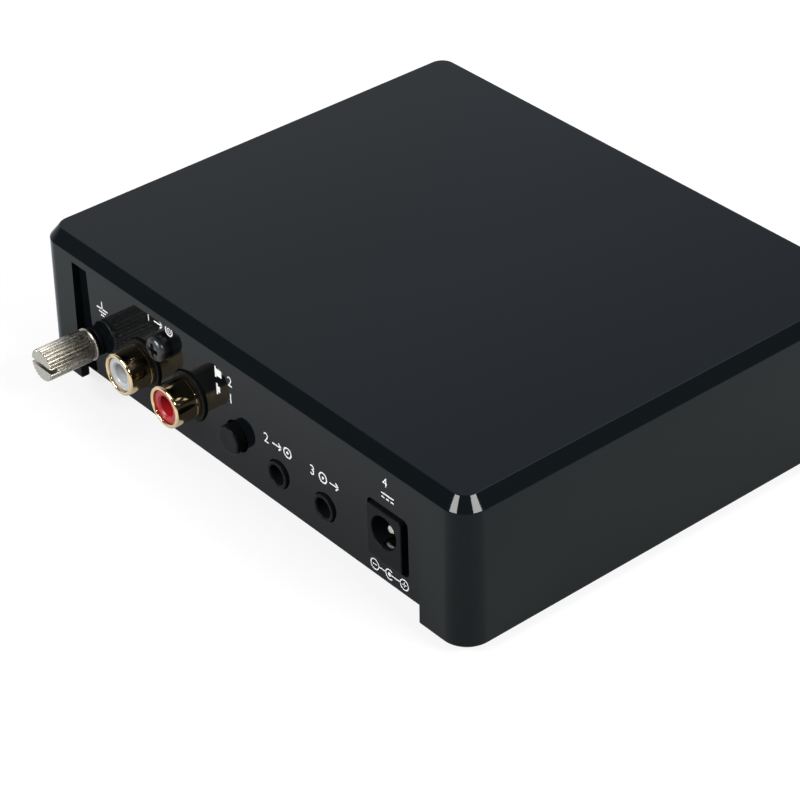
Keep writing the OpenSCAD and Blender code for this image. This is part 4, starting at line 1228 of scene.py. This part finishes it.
# %% Selector switch
stem_lo, stem_hi = span("selector_stem")
stem_mid, stem_size = (stem_lo + stem_hi) / 2, stem_hi - stem_lo
box_lo, box_hi = span("selector_housing")
switch = solid("selector_switch", boxed("selector_housing", 0.3, 0.2))
carve(switch, cutter(stem_size[0] + 0.4, stem_size[1] + 2.0, stem_size[2] + 0.4)
      + [stem_mid[0], box_hi[1] - 0.3 * stem_size[1], stem_lo[2] - 0.2])
for side in (-1, 1):
    carve(switch, cutter(0.5, box_hi[1] - box_lo[1] - 2.4, 2.0)
          + [(box_hi[0] + box_lo[0]) / 2 + side * (box_hi[0] - box_lo[0]) / 2,
             (box_hi[1] + box_lo[1]) / 2, (box_hi[2] + box_lo[2]) / 2 - 1])
soften(switch, 0.08, 40)
finish_piece(switch, base_satin, ["selector_housing"])
make("selector_rod", [skin(to_rear(
    block((stem_size[0], stem_size[2], stem_size[1]), 0.3, 0.15, 4),
    on_axis("selector_stem", stem_lo[1])))], stem_plastic, ["selector_stem"],
    "selector")


# %% [markdown]
# The pairing key works a small tact switch, whose pressed steel front is held by four
# rivets that leave a dimple each. The moulded body and the steel front are two pieces,
# because each has its own finish, and one cut through both makes the stem's hole.

# %% Tact switch
tact_lo, tact_hi = span("key_switch_body")
tact_mid = (tact_lo + tact_hi) / 2
tact = solid("tact_switch", boxed("key_switch_body", 0.4, 0.15, (0, 0.5, 0)) + [0, 0.25, 0])
plate = solid("tact_switch_plate", to_front(
    block((tact_hi[0] - tact_lo[0] - 0.3, tact_hi[2] - tact_lo[2] - 0.3, 0.45), 0.5, 0.08, 5),
    [tact_mid[0], tact_lo[1] + 0.46, tact_mid[2]]))
rod_lo, rod_hi = span("key_switch_stem")
rod_r, rod_len = (rod_hi[0] - rod_lo[0]) / 2, rod_hi[1] - rod_lo[1]
for piece in (tact, plate):
    carve(piece, to_front(rod(rod_r + 0.15, -rod_len - 1, 1, 48),
                          [tact_mid[0], tact_lo[1] - 0.5, rod_lo[2] + rod_r]))
for x, z in ((-1, -1), (-1, 1), (1, -1), (1, 1)):
    carve(plate, to_front(rod(0.4, -0.1, 0.25, 24), [
        tact_mid[0] + 2.6 * x, tact_lo[1] + 0.2, tact_mid[2] + 2.5 * z]))
soften(tact, 0.08, 40)
soften(plate, 0.04, 40)
finish_piece(tact, base_satin, ["key_switch_body"])
finish_piece(plate, shield_steel)

push = rounded([(0, 0), (rod_r, 0), (rod_r, rod_len), (0, rod_len)], [0.12, 0.2], 4)
make("tact_rod", [skin(to_front(lathe(push, 48), on_axis("key_switch_stem", rod_hi[1])))],
     stem_plastic, ["key_switch_stem"], "front_key")


# %% [markdown]
# ## The circuit board
#
# The board is glass-epoxy under a green solder mask. Its copper shows through the mask as
# slightly raised, paler tracks, and the sawn edges are bare and yellowish. The board, the
# radio module's board and the solder tag are flat sheets whose CAD meshes are already
# right, so they keep them and only take a material.

# %% Board materials
def solder_mask(name, mask, copper, edge):
    """Solder mask: a brick pattern 11 mm by 0.9 mm whose thin mortar lines are tracks. They
    show where a noise of 9 mm is above its middle, and the faces that stand upright are bare."""
    material, tree, shader, place = surface(name, mask, 0.28)
    brick = add(tree, "TexBrick", {"Vector": place, "Scale": 1000.0, "Brick Width": 11.0,
                                   "Row Height": 0.9, "Mortar Size": 0.15,
                                   "Mortar Smooth": 0.3, "Color1": (0, 0, 0, 1),
                                   "Color2": (0, 0, 0, 1), "Mortar": (1, 1, 1, 1)})
    patch = add(tree, "TexNoise", {"Vector": place, "Scale": per_mm(9), "Detail": 0.0})
    where = add(tree, "MapRange", {"Value": patch.outputs["Fac"], "From Min": 0.5,
                                   "From Max": 0.52})
    track = add(tree, "Math", {0: brick.outputs["Fac"], 1: where.outputs["Result"]},
                operation="MULTIPLY")
    paint = add(tree, "Mix", {"Factor": track.outputs[0], COLOUR_A: linear(mask),
                              COLOUR_B: linear(copper)}, data_type="RGBA")
    turned = add(tree, "SeparateXYZ", {"Vector": add(tree, "NewGeometry").outputs["Normal"]})
    flat = add(tree, "Math", {0: turned.outputs["Z"]}, operation="ABSOLUTE")
    both = add(tree, "Mix", {"Factor": flat.outputs[0], COLOUR_A: linear(edge),
                             COLOUR_B: paint.outputs[MIXED]}, data_type="RGBA")
    tree.links.new(both.outputs[MIXED], shader.inputs["Base Color"])
    raise_surface(tree, shader, track.outputs[0], 0.03)
    return material


green_mask = solder_mask("green_solder_mask", "#0f4a2c", "#2a7a48", "#b8a868")
blue_mask = solder_mask("blue_solder_mask", "#10386b", "#2a5c96", "#b8a868")
chip_epoxy = satin_plastic("chip_epoxy", "#1c1c1e", 0.5, 0.12, 0.004)
ferrite = satin_plastic("sintered_ferrite", "#3a3a3d", 0.55, 0.3, 0.01)
film_red = satin_plastic("film_capacitor_resin", "#a92f27", 0.32, 0.6, 0.008)
ceramic = satin_plastic("fired_ceramic", "#e8e2d0", 0.5, 0.2, 0.003)
sleeve_vinyl = satin_plastic("shrunk_vinyl_sleeve", "#1a2430", 0.3, 1.2, 0.01)
aluminium = metal("drawn_aluminium", "#d0d2d4", 0.25, 0.4, 0.8, "#c2c4c6")

for node, material in (("circuit_board", green_mask), ("radio_board", blue_mask),
                       ("ground_tag", tinned)):
    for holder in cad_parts[node].material_slots:
        holder.material = material
print("board materials", green_mask.name, blue_mask.name)


# %% [markdown]
# The parts stand in rows beside the connectors that they serve: the equaliser's chips,
# film capacitors and small cans behind the phono sockets, and the supply's regulators,
# inductor and large cans behind the power socket. Their places are shares of the board's
# half width and half depth, so they keep their order if the board grows.

# %% Where the parts stand
board_mid_y, board_deep = (board_lo[1] + board_hi[1]) / 2, board_hi[1] - board_lo[1]


def spots(*shares):
    """Points on the board, from shares of its half width and half depth."""
    return [np.array([x * board_hi[0], board_mid_y + y * board_deep / 2, board_hi[2]])
            for x, y in shares]


chip_at = spots((0.46, 0.2), (0.2, 0.2), (0.2, -0.1))
regulator_at = spots((-0.82, 0.05), (-0.82, -0.2))
inductor_at = spots((-0.6, 0.28))
film_at = spots((0.6, 0.36), (0.28, 0.4), (0.24, -0.3), (0.24, -0.42))
small_can_at = spots((0.72, 0.05), (0.72, -0.2), (0.46, -0.15), (0.46, -0.42), (0.72, -0.45),
                     (-0.14, 0.2))
big_can_at = spots((-0.36, 0.3), (-0.1, -0.1))
resistor_at = spots(*[(0.02 + 0.055 * i, -0.56 - 0.07 * j) for i in range(5) for j in range(3)])
cans = [(at, 4.0, 11.5) for at in small_can_at] + [(at, 5.0, 14.0) for at in big_can_at]
print("board parts", sum(map(len, (chip_at, regulator_at, film_at, cans, resistor_at))) + 1)


# %% [markdown]
# A chip is a block of black epoxy with a dot sunk beside its first pin, and its legs are
# strips bent like a gull's wing. A regulator is a larger block on a metal tab. The legs
# are strips along one short path, repeated, so a leg costs only a few dozen faces.

# %% Chips and regulators
leg_path = [(0, 0.75), (0.35, 0.75), (0.5, 0.68), (0.62, 0.2), (0.75, 0.08), (1.15, 0.08)]
leg_t, lift = 0.14, 0.15
chips = solid("amplifier_chips_epoxy", *[block((4.0, 5.0, 1.45), 0.15, 0.18, 4) + at
                                         + [0, 0, lift] for at in chip_at])
for at in chip_at:
    carve(chips, rod(0.4, 1.5, 2, 24) + at + [-1.3, 1.8, 0])
soften(chips)
finish_piece(chips, chip_epoxy, ["amplifier_chips"])
make("chip_legs", [strip_skin(strip(leg_path, 0.42, leg_t) * [side, side, 1] + at
                              + [side * 1.95, row, 0])
                   for at in chip_at for side in (-1, 1) for row in (-1.9, -0.63, 0.63, 1.9)],
     tinned)

make("regulator_epoxy", [skin(block((6.4, 5.0, 2.1), 0.15, 0.25, 4) + at + [0, -0.4, lift])
                         for at in regulator_at],
     chip_epoxy, ["voltage_regulators"])
tabs = []
for at in regulator_at:
    tabs.append(skin(block((5.4, 5.4, 0.3), 0.2, 0.05, 4) + at + [0, 0.28, 0]))
    tabs += [strip_skin(along_y(strip(leg_path, 0.8, leg_t) * [-1, -1, 1], [x, -1.9, 0]) + at)
             for x in (-2.3, 2.3)]
make("regulator_tabs", tabs, tinned)


# %% [markdown]
# The inductor is a ferrite drum in a ring, and one profile gives the drum, the gap and the
# ring. A film capacitor is a rounded block of red resin on two leads. A chip resistor is a
# ceramic tile with a black film above and a tinned cap at each end, and fifteen of them
# stand in rows, so each is only a few blocks.

# %% Inductor, film capacitors and resistors
drum = rounded([(0, 3.9), (2.3, 3.9), (2.45, 4.4), (3.0, 4.4), (3.1, 3.7), (3.3, 3.7),
                (3.4, 4.5), (4.25, 4.5), (4.25, 0), (0, 0)],
               [0.1, 0.1, 0.1, 0.05, 0.05, 0.1, 0.35, 0.2], 4)
make("inductor_drum", [skin(lathe(drum, 72) + at) for at in inductor_at], ferrite,
     ["power_inductor"])
leads_at = [at + [x, 0, 0] for at in film_at for x in (-2.5, 2.5)]
make("film_capacitor_bodies", [skin(block((7.2, 2.6, 6.25), 0.6, 0.5, 5) + at + [0, 0, 0.35])
                               for at in film_at],
     film_red, ["film_capacitors"])
make("film_capacitor_leads", [skin(rod(0.28, -1.0, 0.6, 16) + at) for at in leads_at], tinned)
make("resistor_ceramic", [skin(block((1.1, 1.5, 0.5), 0.05, 0.06, 3) + at + [0, 0, 0.03])
                          for at in resistor_at],
     ceramic, ["chip_resistors"])
make("resistor_film", [skin(block((1.06, 1.3, 0.06), 0.05, 0.02, 3) + at + [0, 0, 0.5])
                       for at in resistor_at], chip_epoxy)
make("resistor_ends", [skin(block((1.18, 0.36, 0.55), 0.06, 0.06, 3) + at + [0, y, 0])
                       for at in resistor_at for y in (-0.82, 0.82)],
     tinned)


# %% [markdown]
# An electrolytic capacitor is an aluminium can in a shrunk vinyl sleeve. The sleeve dips
# into the groove over the rubber seal and curls over the can's edge, a stripe marks the
# negative side, and the bare top has a cross pressed in it that lets the can burst safely.

# %% Electrolytic capacitors
def can_sleeve(radius, height):
    """A can in its shrunk sleeve: a groove over the rubber seal near the foot, and the
    sleeve's edge curled over the top."""
    return rounded([(0, 0.05), (radius - 0.5, 0.05), (radius, 0.5), (radius, 1.5),
                    (radius - 0.4, 1.85), (radius - 0.4, 2.15), (radius, 2.5),
                    (radius, height), (radius - 1.1, height), (radius - 1.1, height - 0.12),
                    (0, height - 0.12)],
                   [0.2, 0.2, 0.3, 0.25, 0.25, 0.3, 0.7, 0.05, 0.05], 4)


def can_end(at, r, h):
    """The bare top of a can, with its cross."""
    top = rounded([(0, h - 0.5), (r - 1.08, h - 0.5), (r - 1.08, h - 0.06), (0, h - 0.06)],
                  [0.05, 0.1], 3)
    end = solid("end", lathe(top, 48) + at)
    for wide, deep in ((2 * (r - 1.6), 0.22), (0.22, 2 * (r - 1.6))):
        carve(end, cutter(wide, deep, 1) + at + [0, 0, h - 0.2])
    return end


def can_stripe(at, r, h):
    """A thin curved bar from -24 to 24 degrees, from 3 mm up to 1 mm below the top."""
    t, z = np.radians(np.linspace(-24, 24, 12)), (3.0, h - 1.0)
    rows = ((r - 0.05, z[0]), (r + 0.02, z[0]), (r + 0.02, z[1]), (r - 0.05, z[1]))
    return ended(np.stack([np.stack([q * np.cos(t), q * np.sin(t), up + 0 * t], -1)
                           for q, up in rows]), tip=False) + at


make("capacitor_sleeves", [skin(lathe(can_sleeve(r, h)) + at) for at, r, h in cans],
     sleeve_vinyl, ["electrolytic_capacitors"])
ends = joined("capacitor_ends", *[can_end(*can) for can in cans])
soften(ends)
finish_piece(ends, aluminium)
make("capacitor_stripes", [strip_skin(can_stripe(*can)) for can in cans], ink)


# %% [markdown]
# The radio module is a small blue board with a tinned screening can, whose holes let hot
# air reach the solder, and a meandering printed aerial at its free end. The aerial is a
# row of strokes, as the printing is. The status lamp is a clear lens on a ceramic base.

# %% Radio module and status lamp
can_lo, can_hi = span("radio_shield")
shield = solid("radio_can", boxed("radio_shield", 0.7, 0.3))
for x in (-1, 0, 1):
    for y in (-1, 0, 1):
        carve(shield, rod(0.45, can_hi[2] - 0.3, can_hi[2] + 1, 24)
              + [(can_lo[0] + can_hi[0]) / 2 + 3.6 * x, (can_lo[1] + can_hi[1]) / 2 + 4.2 * y, 0])
soften(shield, 0.06, 40)
finish_piece(shield, shield_steel, ["radio_shield"])

radio_lo, radio_hi = span("radio_board")
near, far = radio_lo[1] + 1.2, radio_lo[1] + 5.2
turns_x = (radio_lo[0] + radio_hi[0]) / 2 + np.repeat(np.linspace(-6, 6, 9), 2)
turns_y = np.tile([near, far, far, near], 5)[:18]
path = list(zip(turns_x, turns_y))
make("radio_aerial", [skin(stroke(a, b, 0.5) + [0, 0, radio_hi[2]])
                      for a, b in zip(path[:-1], path[1:])], gold)
make("radio_pads", [skin(block((0.8, 0.7, 0.06), 0.1, 0.02, 3) + [x, y, radio_hi[2] - 0.02])
                    for x in (radio_lo[0] + 0.35, radio_hi[0] - 0.35)
                    for y in np.arange(radio_lo[1] + 8, radio_hi[1] - 1, 1.27)],
     gold)

led_lo, led_hi = span("status_lamp")
led_size, led_at = led_hi - led_lo, [*((led_lo + led_hi) / 2)[:2], led_lo[2]]
make("status_lamp_base", [skin(block((led_size[0], led_size[1], 0.3), 0.08, 0.04, 3) + led_at)],
     ceramic, ["status_lamp"])
make("status_lamp_lens", [skin(block(led_size - [0.5, 0.1, 0.32], 0.1, 0.12, 4) + led_at
                               + [0, 0, 0.29])], clear_plastic)


# %% [markdown]
# White outlines are screened on the board round each part. Under the board, each lead ends
# in a cone of solder, which is one small lathe, turned over and repeated.

# %% Outlines and joints on the board
def outline(at, width, depth):
    """The four sides of a printed rectangle, as strokes of 0.15 mm."""
    x, y = width / 2, depth / 2
    ring = [(-x, -y), (x, -y), (x, y), (-x, y), (-x, -y)]
    return [skin(stroke(np.array(a) + at[:2], np.array(b) + at[:2], 0.15) + [0, 0, at[2]])
            for a, b in zip(ring[:-1], ring[1:])]


parts = []
for places, width, depth in ((chip_at, 7.0, 5.6), (regulator_at, 7.4, 7.2), (film_at, 8.0, 3.4)):
    for at in places:
        parts += outline(at, width, depth)
for at, r, h in [*cans, (inductor_at[0], 4.25, 4.5)]:
    points, quads = arc(r + 0.5, width=0.15)
    parts.append((points + at, quads))
make("board_outlines", parts, ink)

joint = rounded([(0, 0.55), (0.3, 0.5), (0.45, 0.15), (0.95, 0.0), (0.95, -0.05), (0, -0.05)],
                [0.1, 0.1, 0.1, 0.02], 3)
under = leads_at + [at + [x, 0, 0] for at, r, h in cans for x in (-1.8, 1.8)]
make("solder_joints", [skin(downwards(lathe(joint, 24), at * [1, 1, 0] + [0, 0, board_lo[2]]))
                       for at in under], tinned)


# %% [markdown]
# ## Camera, floor and light
#
# The camera looks down on the rear corner by the power socket. It is set by the direction
# that it looks along, its distance and a small roll, about the middle of the case's rim.

# %% Camera
camera_turn, camera_rise, camera_roll = np.radians([230.874, 34.741, -1.759])
camera_distance, lens_mm, sensor_mm = 537.41, 128.63, 36.0
aim_right, aim_up = -10.254, -2.483
target = np.array([0, case_y, rim_z])

back = np.array([np.sin(camera_turn) * np.cos(camera_rise),
                 -np.cos(camera_turn) * np.cos(camera_rise), np.sin(camera_rise)])
level = np.cross(-back, [0, 0, 1])
level /= np.linalg.norm(level)
upright = np.cross(level, -back)
right = level * np.cos(camera_roll) + upright * np.sin(camera_roll)
up = -level * np.sin(camera_roll) + upright * np.cos(camera_roll)
eye = target + back * camera_distance + right * aim_right + up * aim_up

lens = bpy.data.cameras.new("camera")
lens.lens, lens.sensor_width, lens.sensor_fit = lens_mm, sensor_mm, "HORIZONTAL"
lens.clip_start, lens.clip_end = 0.01, 50
camera = new_object("camera", lens)
camera.matrix_world = Matrix([[*row, place * MM] for *row, place in
                              np.column_stack([right, up, back, eye]).tolist()] + [[0, 0, 0, 1]])
bpy.context.scene.camera = camera
bpy.context.scene.view_settings.view_transform = "Standard"
print("camera at", np.round(eye, 2))


# %% [markdown]
# The object stands on a sheet of matt white board. A gloss black side mirrors the board in
# front of it more than it shows its own colour, so the board has two looks. The camera
# sees it lit to white, with the object's soft shadow. Gloss and glass see a paler board
# that hardly glows, so that its darker ground close to the object shows in the sides.

# %% Floor
def floor_material():
    """Base colour: one grey for mirroring rays, another for the rest. Emission strength:
    0.8 for the camera plus 0.12 for mirroring rays."""
    material, tree, shader, place = surface("pale_floor", "#6e6e6e", 0.9)
    shader.inputs["Specular IOR Level"].default_value = 0.0
    rays = add(tree, "LightPath")
    mirrored = add(tree, "Math", {0: rays.outputs["Is Glossy Ray"],
                                  1: rays.outputs["Is Transmission Ray"]}, operation="MAXIMUM")
    board = add(tree, "Mix", {"Factor": mirrored.outputs[0], COLOUR_A: linear("#6e6e6e"),
                              COLOUR_B: linear("#bdc2c4")}, data_type="RGBA")
    tree.links.new(board.outputs[MIXED], shader.inputs["Base Color"])
    faint = add(tree, "Math", {0: mirrored.outputs[0], 1: 0.12}, operation="MULTIPLY")
    glow = add(tree, "Math", {0: rays.outputs["Is Camera Ray"], 1: 0.8, 2: faint.outputs[0]},
               operation="MULTIPLY_ADD")
    tree.links.new(glow.outputs[0], shader.inputs["Emission Strength"])
    shader.inputs["Emission Color"].default_value = (1, 1, 1, 1)
    return material


side = 9000.0
floor_grid = np.stack(np.meshgrid([-side, side], [-side, side], [0.0], indexing="ij"), -1)
floor = new_object("floor", mesh_of("floor", [skin(floor_grid[:, :, 0], around=False)]))
floor.data.materials.append(floor_material())
floor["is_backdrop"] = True
print("floor", 2 * side, "mm wide")


# %% [markdown]
# The room is dim, because a black mirror shows what surrounds it. Behind the object hangs
# a pale haze that fades upwards, and the top mirrors it faintly. A pale band runs along the
# horizon, where the floor ends.

# %% World
def towards(turn, rise):
    """The unit vector at an angle turn from +X towards +Y, and rise above the floor."""
    turn, rise = np.radians([turn, rise])
    return np.array([np.cos(turn) * np.cos(rise), np.sin(turn) * np.cos(rise), np.sin(rise)])


def set_stops(node, *stops):
    """Gives a colour ramp its (position, colour) stops, and returns its output."""
    elements = node.color_ramp.elements
    while len(elements) < len(stops):
        elements.new(0.5)
    for element, (at, code) in zip(elements, stops):
        element.position, element.color = at, linear(code)
    return node.outputs["Color"]


world = bpy.data.worlds.new("studio")
bpy.context.scene.world = world
world.use_nodes = True
sky = world.node_tree
direction = add(sky, "TexCoord").outputs["Generated"]
haze = add(sky, "VectorMath", {0: direction, 1: tuple(towards(-15, 12))},
           operation="DOT_PRODUCT").outputs["Value"]
haze_colour = set_stops(add(sky, "ValToRGB", {"Fac": haze}), (0.0, "#3c3e42"),
                        (0.5, "#4a4d55"), (0.66, "#83899a"), (0.82, "#ccd4e6"),
                        (0.9, "#eef0f6"), (1.0, "#ffffff"))
rise = add(sky, "SeparateXYZ", {"Vector": direction}).outputs["Z"]
band_colour = set_stops(add(sky, "ValToRGB", {"Fac": rise}), (0.0, "#ffffff"),
                        (0.1, "#f0f0f0"), (0.22, "#000000"))
mix = add(sky, "Mix", {"Factor": 1.0, COLOUR_A: haze_colour, COLOUR_B: band_colour},
          data_type="RGBA", blend_type="LIGHTEN")
sky.links.new(mix.outputs[MIXED], sky.nodes["Background"].inputs["Color"])
print("world", world.name, len(sky.nodes), "nodes")


# %% [markdown]
# Two long soft boxes stand one on each side of the camera. The rounded corner's chamfer
# mirrors each of them as a pale patch, and their light falls on the metal. A wide, dim one
# high over the front lights the round parts from their far side.

# %% Lamps
lamp_distance = 1.2


def soft_box(name, turn, rise, width, height, radiance):
    """A soft box that covers width by height degrees of the sky, and is radiance times as
    bright as white board: an area lamp of area A gives that off at radiance * pi * A watts."""
    lamp = bpy.data.lights.new(name, "AREA")
    lamp.shape = "RECTANGLE"
    lamp.size, lamp.size_y = 2 * lamp_distance * np.tan(np.radians([width, height]) / 2)
    lamp.energy = radiance * np.pi * lamp.size * lamp.size_y
    holder = new_object(name, lamp)
    axis = Vector(towards(turn, rise))
    holder.location = axis * lamp_distance
    holder.rotation_euler = axis.to_track_quat("Z", "Y").to_euler()
    print(name, round(lamp.energy, 1), "W")


soft_box("soft_box_left", 86, 37, 34, 7, 46)
soft_box("soft_box_right", 190.5, 37, 31, 8, 46)
soft_box("soft_box_above", 250, 58, 56, 36, 3.2)


# %% [markdown]
# The box of everything that renders, the floor left out, is found. It should agree with that
# of the CAD model alone, since each piece stands where its CAD node does.

# %% Close the scene
lo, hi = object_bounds()
